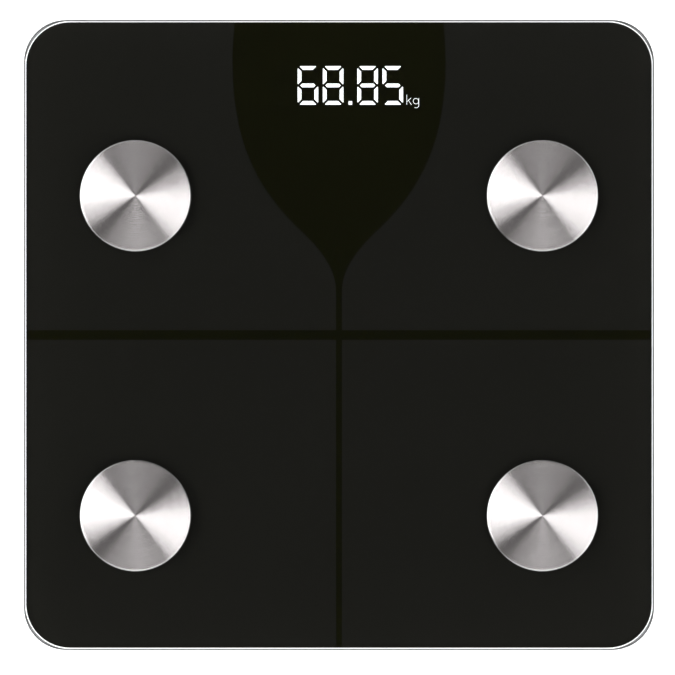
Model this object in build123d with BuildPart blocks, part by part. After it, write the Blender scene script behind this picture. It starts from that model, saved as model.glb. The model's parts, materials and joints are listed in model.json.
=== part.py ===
from build123d import *
import math
import os

# A square glass bathroom scale that also measures body composition. +Y points at the
# display, where the user's toes are, and the origin is on the floor under the middle.

os.makedirs("parts", exist_ok=True)

# Thicknesses and heights, stacked from the floor up
ground_clearance = 4.0
casing_wall = 2.0
foot_flange_thickness = 2.0
cell_thickness = 3.0
cell_seat_height = 1.6
frame_thickness = 2.0
tape_thickness = 0.8
print_thickness = 0.2
glass_thickness = 6.0
adhesive_thickness = 0.2
electrode_thickness = 0.9

# Clearances
slip = 0.05
fit_gap = 0.2
loose_gap = 0.5

# Glass platform: the bevel is wider round the corners, where the top face has a larger radius
platform_side = 300.0
platform_corner = 20.0
glass_bevel = 0.5
glass_top_corner = 21.2
glass_hole_radius = 4.0

# Ink on the underside of the glass
print_margin = 1.0
print_corner = 20.8
band_width = 4.6
stem_width = 2.8
stem_top = 21.1
panel_half_width = 50.8
panel_top_half_width = 49.7
panel_shoulder_inset = 19.7
panel_waist = (18.1, 49.6)
panel_waist_angle = 42.6
shoulder_pull = 33.4
waist_pull_up = 31.6
waist_pull_down = 11.6
stem_pull = 10.5

# Numeric display
display_wall_gap = 0.7
window_width = 84.0
window_height = 24.0
window_left_margin = 10.05
window_right_margin = 3.4
housing_overlap = 1.0
guide_depth = 5.0
digit_height = 18.9
digit_gap = 1.7
point_space = 4.43
bar_width = 2.3
bar_gap = 0.6
bar_tip = 0.5
middle_bar_inset = 0.72
point_size = 2.2
reading = [" ", "6", "8.", "8", "5"]
legend_gap = 1.12
legend_width = 6.7
legend_stroke = 0.75
pin_radius = 0.25
pin_pitch = 5.08
pin_columns = 14
pin_row_offset = 10.0
pin_stickout = 1.2

# Electrodes and their hardware
electrode_radius = 26.5
electrode_bevel = 0.6
electrode_side_step = 13.1
electrode_back_step = 43.7
front_stud_gap = 5.3
stud_radius = 2.0
washer_radius = 4.5
washer_thickness = 0.8
terminal_radius = 3.6
terminal_thickness = 0.8
terminal_tail = 7.5
terminal_tail_width = 2.6
barrel_radius = 1.2
barrel_length = 5.0
nut_width = 7.0
nut_height = 3.2
stud_stickout = 1.0
bush_flange_radius = 6.5

# Casing
glass_overhang = 14.0
casing_corner = 12.0
casing_edge_radius = 3.0
lip_thickness = 1.2
lip_depth = 2.0
rib_thickness = 1.2
rib_height = 2.0
side_rib_step = 38.0
end_rib_step = 50.0
frame_rib_step = 55.0
frame_rib_height = 2.4
tape_inset = 4.0
tape_width = 12.0
label_width = 60.0
label_length = 34.0
label_depth = 0.3
label_step = 18.0

# Screws, with their heads down
screw_inset = 10.0
side_screw_step = 70.0
end_screw_gap = 12.0
cover_screw_radius = 1.45
cover_screw_length = 8.0
cover_head_radius = 2.8
cover_head_height = 2.0
cover_head_recess = 0.5
well_radius = 5.5
well_floor = 2.0
cover_boss_radius = 3.5
small_screw_radius = 1.1
small_screw_length = 5.2
small_head_radius = 2.0
small_head_height = 1.4
small_boss_radius = 3.0
recess_width = 0.6

# Feet and load cells
foot_wall_gap = 2.0
foot_hole_radius = 20.0
foot_shank_gap = 0.3
foot_flange_overlap = 2.0
foot_boss_gap = 0.8
foot_pocket_depth = 3.5
foot_wall = 2.4
foot_ribs = 6
pad_rim = 2.4
pad_height = 2.5
pad_seat_depth = 1.0
pad_groove_radii = (8.0, 13.0)
pad_groove_width = 1.2
pad_groove_depth = 0.4
cell_side = 34.0
cell_corner = 3.0
tongue_width = 13.0
tongue_length = 20.0
slot_width = 2.0
seat_inset = 0.2
seat_opening_side_gap = 1.5
seat_opening_end_gap = 2.0
gauge_width = 9.0
gauge_length = 4.2
gauge_height = 1.0
retainer_wall = 1.5
retainer_ledge = 1.4
retainer_ledge_width = 3.0
ear_step = 5.8
ear_radius = 3.6
ear_thickness = 2.0

# Battery bay for four AAA cells, its door and the door's latch
bay_x = 0.0
bay_y = 10.0
cell_count = 4
battery_radius = 5.25
battery_length = 44.5
battery_nub_radius = 1.9
battery_nub_length = 1.0
battery_gap = 0.5
battery_edge_radius = 0.4
bay_side_gap = 0.55
bay_wall = 2.0
bay_roof = 1.2
bay_head_gap = 0.4
door_thickness = 1.6
door_ledge = 1.0
battery_lift = 0.3
contact_thickness = 0.4
contact_head_gap = 0.8
contact_margin = 0.7
contact_rise = 2.7
spring_length = 4.0
spring_radius = 3.0
spring_wire_radius = 0.35
spring_turns = 3
lug_width = 3.0
lug_length = 1.5
hook_x = 11.0
hook_width = 6.0
hook_thickness = 1.2
hook_reach = 2.15
hook_slot_height = 2.6
latch_width = 12.0
latch_strip = 0.9
latch_span = 4.8
latch_height = 6.0
latch_nose = 1.75
latch_nose_height = 1.4
latch_pocket_length = 7.6
latch_pocket_wall = 1.2
latch_gap = 0.8

# Main board and what is on it
board_length = 44.0
board_wall_gap = 2.0
board_corner = 2.0
board_thickness = 1.6
board_screw_gap = 1.0
board_edge = 5.0
board_screw_y_inset = 4.4
chip_x = (-20.0, 12.0)
chip_side = 9.0
chip_height = 1.2
chip_lead = 0.35
chip_lead_reach = 1.0
chip_leads_per_side = 8
crystal_x = -4.0
crystal_length = 10.0
crystal_width = 3.8
crystal_height = 3.2
capacitor_x = (-36.0, -32.0, 24.0, 28.0, 32.0, 36.0)
capacitor_row = 3.0
capacitor_width = 1.6
capacitor_length = 3.2
capacitor_height = 1.4
connector_depth = 6.0
connector_height = 3.4
connector_pitch = 2.2
connector_x = 26.0
connector_end = 2.4
connector_setback = 0.5
connector_chamfer = 0.5
side_connector_ways = 4
battery_connector_ways = 2
switch_step = 7.0
switch_setback = 6.0
switch_side = 6.0
switch_height = 3.1
plunger_radius = 1.7
plunger_height = 0.7
plunger_depth = 1.4
button_travel = 0.5
button_radius = 4.0
button_flange_radius = 5.5
button_flange_thickness = 0.8
button_recess = 0.4

# Insulated leads inside the casing
lead_radius = 0.6
lead_z = 9.0
gauge_lead_radius = 0.5
lead_bend = 0.45

# Heights that follow: the batteries set how high the frame and the glass lie
cover_floor_z = ground_clearance + casing_wall
foot_flange_top_z = cover_floor_z + foot_flange_thickness
door_top_z = ground_clearance + door_thickness
battery_z = door_top_z + battery_lift + battery_radius
bay_roof_z = battery_z + battery_radius + fit_gap
contact_z = door_top_z + contact_rise
contact_height = bay_roof_z - contact_head_gap - contact_z
frame_top_z = bay_roof_z + bay_roof + bay_head_gap
frame_bottom_z = frame_top_z - frame_thickness
cell_top_z = frame_bottom_z - cell_seat_height
cell_bottom_z = cell_top_z - cell_thickness
foot_boss_height = cell_bottom_z - foot_flange_top_z
print_bottom_z = frame_top_z + tape_thickness
glass_bottom_z = print_bottom_z + print_thickness
glass_top_z = glass_bottom_z + glass_thickness
electrode_bottom_z = glass_top_z + adhesive_thickness
guide_bottom_z = print_bottom_z - guide_depth
board_bottom_z = cover_floor_z + button_flange_thickness + plunger_height + switch_height
board_top_z = board_bottom_z + board_thickness
well_top_z = ground_clearance + cover_head_recess + cover_head_height + well_floor
ear_bottom_z = cell_bottom_z - retainer_ledge

# Widths and places that follow
print_side = platform_side - 2 * print_margin
print_edge = print_side / 2
casing_side = platform_side - 2 * glass_overhang
casing_inside = casing_side - 2 * casing_wall
inside_corner = casing_corner - casing_wall
lip_side = casing_inside - 2 * fit_gap

shank_radius = foot_hole_radius - foot_shank_gap
pad_radius = shank_radius - pad_rim
foot_flange_radius = foot_hole_radius + foot_flange_overlap
foot_place = casing_inside / 2 - foot_wall_gap - foot_flange_radius
tongue_root = (tongue_length + slot_width) / 2
gauge_inset = tongue_root - gauge_length / 2
foot_boss_radius = tongue_root - gauge_length - foot_boss_gap
retainer_side = cell_side + 2 * (fit_gap + retainer_wall)
retainer_edge = foot_place - retainer_side / 2
ear_distance = retainer_side / 2 + ear_step

housing_width = window_width + 2 * housing_overlap
housing_length = window_height + 2 * housing_overlap
display_y = lip_side / 2 - lip_thickness - display_wall_gap - housing_length / 2
legend_x = window_width / 2 - window_right_margin - legend_width
digits_width = window_width / 2 - window_left_margin + legend_x - legend_gap - point_space
digit_width = (digits_width - (len(reading) - 1) * digit_gap) / len(reading)
digit_pitch = digit_width + digit_gap
first_digit_x = window_left_margin + digit_width / 2 - window_width / 2

board_y = casing_inside / 2 - board_wall_gap - board_length / 2
board_front = board_y - board_length / 2
board_screw_x = housing_width / 2 + board_screw_gap + small_boss_radius
board_width = 2 * (board_screw_x + board_edge)
connector_front = board_front + connector_setback
switch_x = board_screw_x - switch_step
switch_y = board_front + switch_setback

electrode_x = foot_place - electrode_side_step
electrode_back_y = foot_place - electrode_back_step
electrode_front_y = front_stud_gap - retainer_edge
screw_place = casing_side / 2 - screw_inset
side_screw_y = foot_place - side_screw_step
end_screw_x = board_width / 2 + end_screw_gap
rib_x = foot_place - side_rib_step
rib_y = foot_place - end_rib_step
frame_rib_y = foot_place - frame_rib_step
label_y = label_step - foot_place

battery_pitch = 2 * battery_radius + battery_gap
bay_width = (cell_count - 1) * battery_pitch + 2 * (battery_radius + bay_side_gap)
bay_length = battery_length + spring_length + 2 * contact_thickness
bay_outer_width = bay_width + 2 * bay_wall
bay_outer_length = bay_length + 2 * bay_wall
door_width = bay_width + 2 * door_ledge
door_length = bay_length + 2 * door_ledge
bay_back = bay_y + bay_outer_length / 2
latch_start = bay_back + loose_gap

corners = {"back_left": (-1, 1), "back_right": (1, 1), "front_left": (-1, -1), "front_right": (1, -1)}
electrode_places = {
    "back_left": (-electrode_x, electrode_back_y),
    "back_right": (electrode_x, electrode_back_y),
    "front_left": (-electrode_x, electrode_front_y),
    "front_right": (electrode_x, electrode_front_y),
}
foot_places = {name: (side * foot_place, end * foot_place) for name, (side, end) in corners.items()}
cover_screw_places = [(side * screw_place, end * side_screw_y) for side in (-1, 1) for end in (-1, 1)]
cover_screw_places += [(side * end_screw_x, end * screw_place) for side in (-1, 1) for end in (-1, 1)]
ear_offsets = [(-ear_distance, 0), (0, -ear_distance)]
ear_places = [
    (side * (foot_place + x), end * (foot_place + y))
    for side, end in corners.values()
    for x, y in ear_offsets
]
board_screw_places = [
    (side * board_screw_x, board_y + end * (board_length / 2 - board_screw_y_inset))
    for side in (-1, 1)
    for end in (-1, 1)
]
battery_places = [bay_x + (slot - (cell_count - 1) / 2) * battery_pitch for slot in range(cell_count)]
base = (Align.CENTER, Align.CENTER, Align.MIN)


def at_height(places, height):
    return [(x, y, height) for x, y in places]


def save(part, name):
    part.label = name
    export_step(part, f"parts/{name}.step")


# Toughened glass platform
with BuildPart() as glass_platform:
    with BuildSketch(Plane.XY.offset(glass_bottom_z)):
        RectangleRounded(platform_side, platform_side, platform_corner)
    extrude(amount=glass_thickness - glass_bevel)
    with BuildSketch(Plane.XY.offset(glass_top_z - glass_bevel)):
        RectangleRounded(platform_side, platform_side, platform_corner)
    with BuildSketch(Plane.XY.offset(glass_top_z)):
        RectangleRounded(platform_side - 2 * glass_bevel, platform_side - 2 * glass_bevel, glass_top_corner)
    loft(ruled=True)
    with BuildSketch(Plane.XY.offset(glass_bottom_z)):
        with Locations(*electrode_places.values()):
            Circle(glass_hole_radius)
    extrude(amount=glass_thickness, mode=Mode.SUBTRACT)
save(glass_platform.part, "glass_platform")

# The darker panel of the print: a vase that runs into a stem, with a band across the middle
waist_x, waist_y = panel_waist
panel_shoulder = print_edge - panel_shoulder_inset
waist_run = math.cos(math.radians(panel_waist_angle))
waist_rise = math.sin(math.radians(panel_waist_angle))
with BuildSketch() as panel_outline:
    with BuildLine():
        Polyline((stem_width / 2, stem_top), (stem_width / 2, -print_edge), (0, -print_edge))
        Polyline((0, -print_edge), (0, print_edge), (panel_top_half_width, print_edge))
        TangentArc((panel_half_width, panel_shoulder), (panel_top_half_width, print_edge), tangent=(0, 1))
        Bezier(
            (panel_half_width, panel_shoulder),
            (panel_half_width, panel_shoulder - shoulder_pull),
            (waist_x + waist_pull_up * waist_run, waist_y + waist_pull_up * waist_rise),
            panel_waist,
        )
        Bezier(
            panel_waist,
            (waist_x - waist_pull_down * waist_run, waist_y - waist_pull_down * waist_rise),
            (stem_width / 2, stem_top + stem_pull),
            (stem_width / 2, stem_top),
        )
    make_face()
    mirror(about=Plane.YZ)
    Rectangle(print_side, band_width)

with BuildPart() as panel_print:
    with BuildSketch(Plane.XY.offset(print_bottom_z)):
        add(panel_outline.sketch)
        with Locations((0, display_y)):
            Rectangle(window_width, window_height, mode=Mode.SUBTRACT)
    extrude(amount=print_thickness)
save(panel_print.part, "panel_print")

with BuildPart() as quadrant_print:
    with BuildSketch(Plane.XY.offset(print_bottom_z)):
        RectangleRounded(print_side, print_side, print_corner)
        add(panel_outline.sketch, mode=Mode.SUBTRACT)
        with Locations(*electrode_places.values()):
            Circle(glass_hole_radius, mode=Mode.SUBTRACT)
    extrude(amount=print_thickness)
save(quadrant_print.part, "quadrant_print")


# Display: bars of seven-bar digits, as clear light guides in a black housing
def bar_corners(bar):
    half_width = digit_width / 2
    half_height = digit_height / 2
    mitre = bar_gap * math.sqrt(2) / 2
    low = middle_bar_inset - mitre
    top_bar = [
        (half_width - mitre - 2 * bar_tip, half_height),
        (-half_width + mitre + 2 * bar_tip, half_height),
        (-half_width + mitre + bar_tip, half_height - bar_tip),
        (-half_width + mitre + bar_width, half_height - bar_width),
        (half_width - mitre - bar_width, half_height - bar_width),
        (half_width - mitre - bar_tip, half_height - bar_tip),
    ]
    side_bar = [
        (-half_width, half_height - mitre - 2 * bar_tip),
        (-half_width, 2 * bar_tip - low),
        (-half_width + bar_tip, bar_tip - low),
        (-half_width + bar_width, bar_width - low),
        (-half_width + bar_width, half_height - bar_width - mitre),
        (-half_width + bar_tip, half_height - mitre - bar_tip),
    ]
    middle_tip = half_width - middle_bar_inset - mitre
    middle_bar = [
        (middle_tip, 0),
        (middle_tip - bar_width / 2, bar_width / 2),
        (-middle_tip + bar_width / 2, bar_width / 2),
        (-middle_tip, 0),
        (-middle_tip + bar_width / 2, -bar_width / 2),
        (middle_tip - bar_width / 2, -bar_width / 2),
    ]
    shapes = {
        "a": (top_bar, 1, 1),
        "b": (side_bar, -1, 1),
        "c": (side_bar, -1, -1),
        "d": (top_bar, 1, -1),
        "e": (side_bar, 1, -1),
        "f": (side_bar, 1, 1),
        "g": (middle_bar, 1, 1),
    }
    outline, flip_x, flip_y = shapes[bar]
    turned = [(flip_x * x, flip_y * y) for x, y in outline]
    return turned if flip_x * flip_y > 0 else turned[::-1]


bars_of = {" ": "", "5": "acdfg", "6": "acdefg", "8": "abcdefg"}
digit_x = first_digit_x
point_y = display_y - (digit_height - point_size) / 2
digit_places = []
point_places = []
for digit in reading:
    digit_places.append((digit_x, display_y))
    digit_x += digit_pitch
    if "." in digit:
        point_places.append((digit_x + (point_space - digit_pitch) / 2, point_y))
        digit_x += point_space

with BuildSketch() as lit_outline:
    for place, digit in zip(digit_places, reading):
        for bar in bars_of[digit[0]]:
            with Locations(place):
                Polygon(*bar_corners(bar), align=None)
    with Locations(*point_places):
        Rectangle(point_size, point_size)

with BuildSketch() as unlit_outline:
    for place, digit in zip(digit_places, reading):
        for bar in [bar for bar in "abcdefg" if bar not in bars_of[digit[0]]]:
            with Locations(place):
                Polygon(*bar_corners(bar), align=None)

# The small unit legend, kg, stands on the digits' baseline
def legend(stroke):
    bowl_radius = 1.3
    with BuildSketch() as letters:
        with Locations((4.75, 1.95)):
            Circle(bowl_radius + stroke / 2)
            Circle(bowl_radius - stroke / 2, mode=Mode.SUBTRACT)
        with BuildLine():
            Line((0.4, 0), (0.4, 5.3))
            Line((0.4, 1.7), (2.6, 3.65))
            Line((1.15, 2.35), (2.8, 0))
        trace(line_width=stroke)
        with BuildLine():
            stem = Line((6.1, 3.65), (6.1, 0))
            hook = TangentArc(stem @ 1, (4.8, -1.2), tangent=(0, -1))
            Line(hook @ 1, (3.75, -0.95))
        trace(line_width=stroke)
    return Location((legend_x, display_y - digit_height / 2)) * letters.sketch


legend_outline = legend(legend_stroke)
with BuildSketch() as guide_holes:
    add(lit_outline.sketch)
    add(unlit_outline.sketch)
    offset(amount=slip, kind=Kind.INTERSECTION)
    add(legend(legend_stroke + 2 * slip))

for name, outline in (
    ("lit_segments", lit_outline.sketch),
    ("unlit_segments", unlit_outline.sketch),
    ("unit_legend", legend_outline),
):
    with BuildPart() as light_guides:
        with BuildSketch(Plane.XY.offset(guide_bottom_z)):
            add(outline)
        extrude(amount=glass_bottom_z - guide_bottom_z)
    save(light_guides.part, name)

with BuildPart() as display_mask:
    with BuildSketch(Plane.XY.offset(print_bottom_z)):
        with Locations((0, display_y)):
            Rectangle(window_width - 2 * slip, window_height - 2 * slip)
        add(guide_holes.sketch, mode=Mode.SUBTRACT)
    extrude(amount=print_thickness)
save(display_mask.part, "display_mask")

with BuildPart() as display_housing:
    with BuildSketch(Plane.XY.offset(board_top_z)):
        with Locations((0, display_y)):
            Rectangle(housing_width, housing_length)
    extrude(amount=print_bottom_z - board_top_z)
    with BuildSketch(Plane.XY.offset(guide_bottom_z)):
        add(guide_holes.sketch)
    extrude(amount=guide_depth, mode=Mode.SUBTRACT)
save(display_housing.part, "display_housing")

with BuildPart() as display_pins:
    with Locations((0, display_y, board_bottom_z - pin_stickout)):
        with GridLocations(pin_pitch, 2 * pin_row_offset, pin_columns, 2):
            Cylinder(pin_radius, pin_stickout + board_thickness, align=base)
save(display_pins.part, "display_pins")

# Electrodes: spun steel discs with a bevelled rim, each on a stud through the glass
stud_bottom_z = frame_bottom_z - washer_thickness - terminal_thickness - nut_height - stud_stickout
for name, (x, y) in electrode_places.items():
    with BuildPart() as electrode:
        with Locations((x, y, electrode_bottom_z)):
            Cylinder(electrode_radius, electrode_thickness, align=base)
        chamfer(electrode.edges().group_by(Axis.Z)[-1], length=electrode_bevel)
        with Locations((x, y, stud_bottom_z)):
            Cylinder(stud_radius, electrode_bottom_z - stud_bottom_z, align=base)
    save(electrode.part, f"electrode_{name}")

with BuildPart() as electrode_pads:
    with BuildSketch(Plane.XY.offset(glass_top_z)):
        with Locations(*electrode_places.values()):
            Circle(electrode_radius - 2 * electrode_bevel)
            Circle(glass_hole_radius, mode=Mode.SUBTRACT)
    extrude(amount=adhesive_thickness)
save(electrode_pads.part, "electrode_pads")

with BuildPart() as electrode_bushes:
    with Locations(*at_height(electrode_places.values(), frame_top_z)):
        Cylinder(bush_flange_radius, tape_thickness, align=base)
        Cylinder(glass_hole_radius - slip, glass_top_z - frame_top_z, align=base)
        Cylinder(stud_radius + slip, glass_top_z - frame_top_z, align=base, mode=Mode.SUBTRACT)
save(electrode_bushes.part, "electrode_bushes")

washer_z = frame_bottom_z - washer_thickness
with BuildPart() as electrode_washers:
    with Locations(*at_height(electrode_places.values(), washer_z)):
        Cylinder(washer_radius, washer_thickness, align=base)
        Cylinder(stud_radius + slip, washer_thickness, align=base, mode=Mode.SUBTRACT)
save(electrode_washers.part, "electrode_washers")

terminal_z = washer_z - terminal_thickness
barrel_z = terminal_z + terminal_thickness / 2
with BuildPart() as electrode_terminals:
    for x, y in electrode_places.values():
        inward = -math.copysign(1, x)
        with Locations((x, y, terminal_z)):
            Cylinder(terminal_radius, terminal_thickness, align=base)
        with Locations((x + inward * terminal_tail / 2, y, terminal_z)):
            Box(terminal_tail, terminal_tail_width, terminal_thickness, align=base)
        with BuildSketch(Plane((x + inward * terminal_tail, y, barrel_z), z_dir=(inward, 0, 0))):
            Circle(barrel_radius)
        extrude(amount=barrel_length)
        with Locations((x, y, terminal_z)):
            Cylinder(stud_radius + slip, terminal_thickness, align=base, mode=Mode.SUBTRACT)
save(electrode_terminals.part, "electrode_terminals")

nut_z = terminal_z - nut_height
with BuildPart() as electrode_nuts:
    with BuildSketch(Plane.XY.offset(nut_z)):
        with Locations(*electrode_places.values()):
            RegularPolygon(nut_width / 2, 6, major_radius=False)
            Circle(stud_radius + slip, mode=Mode.SUBTRACT)
    extrude(amount=nut_height)
save(electrode_nuts.part, "electrode_nuts")

# Foam tape bonds the glass to the frame
tape_side = casing_side - 2 * tape_inset
tape_window = tape_side - 2 * tape_width
with BuildPart() as bonding_tape:
    with BuildSketch(Plane.XY.offset(frame_top_z)):
        RectangleRounded(tape_side, tape_side, inside_corner)
        RectangleRounded(tape_window, tape_window, inside_corner - tape_inset, mode=Mode.SUBTRACT)
        with Locations((-rib_x, 0), (rib_x, 0)):
            Rectangle(tape_width, tape_side - tape_width)
        with Locations((0, display_y)):
            Rectangle(housing_width + 2 * fit_gap, housing_length + 2 * fit_gap, mode=Mode.SUBTRACT)
    extrude(amount=tape_thickness)
save(bonding_tape.part, "bonding_tape")

# Upper frame: a plate with a locating lip, seats for the load cells, ribs and screw bosses
with BuildPart() as upper_frame:
    with BuildSketch(Plane.XY.offset(frame_bottom_z)):
        RectangleRounded(casing_side, casing_side, casing_corner)
    extrude(amount=frame_thickness)
    with BuildSketch(Plane.XY.offset(frame_bottom_z - lip_depth)):
        RectangleRounded(lip_side, lip_side, inside_corner - fit_gap)
        RectangleRounded(
            lip_side - 2 * lip_thickness,
            lip_side - 2 * lip_thickness,
            inside_corner - fit_gap - lip_thickness,
            mode=Mode.SUBTRACT,
        )
    extrude(amount=lip_depth)
    with BuildSketch(Plane.XY.offset(cell_top_z)):
        with Locations(*foot_places.values()):
            RectangleRounded(cell_side - 2 * seat_inset, cell_side - 2 * seat_inset, cell_corner)
            Rectangle(
                tongue_width + 2 * (slot_width + seat_opening_side_gap),
                2 * (tongue_root + seat_opening_end_gap),
                mode=Mode.SUBTRACT,
            )
    extrude(amount=cell_seat_height)
    with BuildSketch(Plane.XY.offset(frame_bottom_z - frame_rib_height)):
        with Locations((-rib_x, 0), (rib_x, 0)):
            Rectangle(rib_thickness, lip_side - lip_thickness)
        with Locations((0, -frame_rib_y)):
            Rectangle(lip_side - lip_thickness, rib_thickness)
    extrude(amount=frame_rib_height)
    with Locations(*at_height(cover_screw_places, well_top_z)):
        Cylinder(cover_boss_radius, frame_bottom_z - well_top_z, align=base)
        Cylinder(cover_screw_radius + slip, frame_bottom_z - well_top_z, align=base, mode=Mode.SUBTRACT)
    with Locations(*at_height(ear_places, ear_bottom_z + ear_thickness)):
        Cylinder(small_boss_radius, frame_bottom_z - ear_bottom_z - ear_thickness, align=base)
    with Locations(*at_height(board_screw_places, board_top_z)):
        Cylinder(small_boss_radius, frame_bottom_z - board_top_z, align=base)
    with Locations(*at_height(ear_places, ear_bottom_z), *at_height(board_screw_places, board_bottom_z)):
        Cylinder(small_screw_radius + slip, small_screw_length + slip, align=base, mode=Mode.SUBTRACT)
    with BuildSketch(Plane.XY.offset(frame_bottom_z)):
        with Locations((0, display_y)):
            Rectangle(housing_width + 2 * fit_gap, housing_length + 2 * fit_gap)
        with Locations((bay_x, bay_y)):
            Rectangle(bay_outer_width + 2 * loose_gap, bay_outer_length + 2 * loose_gap)
        with Locations(*electrode_places.values()):
            Circle(stud_radius + fit_gap)
    extrude(amount=frame_thickness, mode=Mode.SUBTRACT)
save(upper_frame.part, "upper_frame")

# Bottom cover: a tray with the battery bay, the latch pocket and wells for the screws
pocket_width = latch_width + 2 * latch_gap
pocket_end = bay_back + loose_gap + latch_pocket_length + latch_gap
pocket_top_z = door_top_z + latch_height + latch_gap
notch_end = latch_start + latch_span + latch_strip
with BuildPart() as bottom_cover:
    with BuildSketch(Plane.XY.offset(ground_clearance)):
        RectangleRounded(casing_side, casing_side, casing_corner)
    extrude(amount=frame_bottom_z - ground_clearance)
    fillet(bottom_cover.edges().group_by(Axis.Z)[0], casing_edge_radius)
    with BuildSketch(Plane.XY.offset(cover_floor_z)):
        RectangleRounded(casing_inside, casing_inside, inside_corner)
    extrude(amount=frame_bottom_z - cover_floor_z, mode=Mode.SUBTRACT)
    with BuildSketch(Plane.XY.offset(cover_floor_z)):
        with Locations((bay_x, bay_y)):
            Rectangle(bay_outer_width, bay_outer_length)
    extrude(amount=bay_roof_z + bay_roof - cover_floor_z)
    with BuildSketch(Plane.XY.offset(cover_floor_z)):
        with Locations((bay_x, bay_back)):
            Rectangle(
                pocket_width + 2 * latch_pocket_wall,
                pocket_end + latch_pocket_wall - bay_back,
                align=(Align.CENTER, Align.MIN),
            )
    extrude(amount=pocket_top_z + latch_pocket_wall - cover_floor_z)
    with BuildSketch(Plane.XY.offset(cover_floor_z)):
        with Locations((0, -rib_y), (0, rib_y)):
            Rectangle(casing_inside, rib_thickness)
        with Locations((-rib_x, 0), (rib_x, 0)):
            Rectangle(rib_thickness, casing_inside)
    extrude(amount=rib_height)
    with Locations(*at_height(cover_screw_places, ground_clearance)):
        Cylinder(well_radius, well_top_z - ground_clearance, align=base)
        Cylinder(cover_screw_radius + fit_gap, well_top_z - ground_clearance, align=base, mode=Mode.SUBTRACT)
        Cylinder(
            cover_head_radius + fit_gap,
            cover_head_recess + cover_head_height,
            align=base,
            mode=Mode.SUBTRACT,
        )
    with BuildSketch(Plane.XY.offset(ground_clearance)):
        with Locations(*foot_places.values()):
            Circle(foot_hole_radius)
        with Locations((switch_x, switch_y)):
            Circle(button_radius + fit_gap)
    extrude(amount=casing_wall, mode=Mode.SUBTRACT)
    with BuildSketch(Plane.XY.offset(ground_clearance)):
        with Locations((bay_x, bay_y)):
            Rectangle(bay_width, bay_length)
    extrude(amount=bay_roof_z - ground_clearance, mode=Mode.SUBTRACT)
    with BuildSketch(Plane.XY.offset(ground_clearance)):
        with Locations((bay_x, bay_y)):
            Rectangle(door_width + 2 * fit_gap, door_length + 2 * fit_gap)
        with Locations((bay_x, bay_y)):
            Rectangle(pocket_width, notch_end - bay_y, align=(Align.CENTER, Align.MIN))
    extrude(amount=door_thickness + fit_gap / 2, mode=Mode.SUBTRACT)
    with BuildSketch(Plane.XY.offset(ground_clearance)):
        with Locations((bay_x, bay_back)):
            Rectangle(pocket_width, notch_end - bay_back, align=(Align.CENTER, Align.MIN))
    extrude(amount=casing_wall, mode=Mode.SUBTRACT)
    with BuildSketch(Plane.XY.offset(cover_floor_z)):
        with Locations((bay_x, bay_back)):
            Rectangle(pocket_width, pocket_end - bay_back, align=(Align.CENTER, Align.MIN))
    extrude(amount=pocket_top_z - cover_floor_z, mode=Mode.SUBTRACT)
    with Locations(
        *[(bay_x + side * hook_x, bay_y - bay_outer_length / 2, door_top_z) for side in (-1, 1)]
    ):
        Box(
            hook_width + 2 * loose_gap,
            2 * bay_wall,
            hook_slot_height,
            align=base,
            mode=Mode.SUBTRACT,
        )
    with Locations(*[(battery_places[slot], bay_back, lead_z) for slot in (0, -1)]):
        Box(lug_width + 2 * fit_gap, 2 * bay_wall, contact_thickness + 2 * fit_gap, mode=Mode.SUBTRACT)
    with Locations((0, label_y, ground_clearance)):
        Box(label_width, label_length, label_depth, align=base, mode=Mode.SUBTRACT)
save(bottom_cover.part, "bottom_cover")


def screw_group(places, head_z, head_radius, head_height, shank_radius, shank_length):
    with BuildPart() as screws:
        with Locations(*at_height(places, head_z)):
            Cylinder(head_radius, head_height, align=base)
        chamfer(screws.edges().group_by(Axis.Z)[0], length=head_height / 4)
        with Locations(*at_height(places, head_z)):
            Cylinder(shank_radius, head_height + shank_length, align=base)
            Box(2 * shank_radius, recess_width, head_height / 2, align=base, mode=Mode.SUBTRACT)
            Box(recess_width, 2 * shank_radius, head_height / 2, align=base, mode=Mode.SUBTRACT)
    return screws.part


cover_head_z = ground_clearance + cover_head_recess
cover_screws = screw_group(
    cover_screw_places,
    cover_head_z,
    cover_head_radius,
    cover_head_height,
    cover_screw_radius,
    cover_screw_length,
)
save(cover_screws, "cover_screws")
retainer_screws = screw_group(
    ear_places,
    ear_bottom_z - small_head_height,
    small_head_radius,
    small_head_height,
    small_screw_radius,
    small_screw_length,
)
save(retainer_screws, "retainer_screws")
board_screws = screw_group(
    board_screw_places,
    board_bottom_z - small_head_height,
    small_head_radius,
    small_head_height,
    small_screw_radius,
    small_screw_length,
)
save(board_screws, "board_screws")

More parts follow.
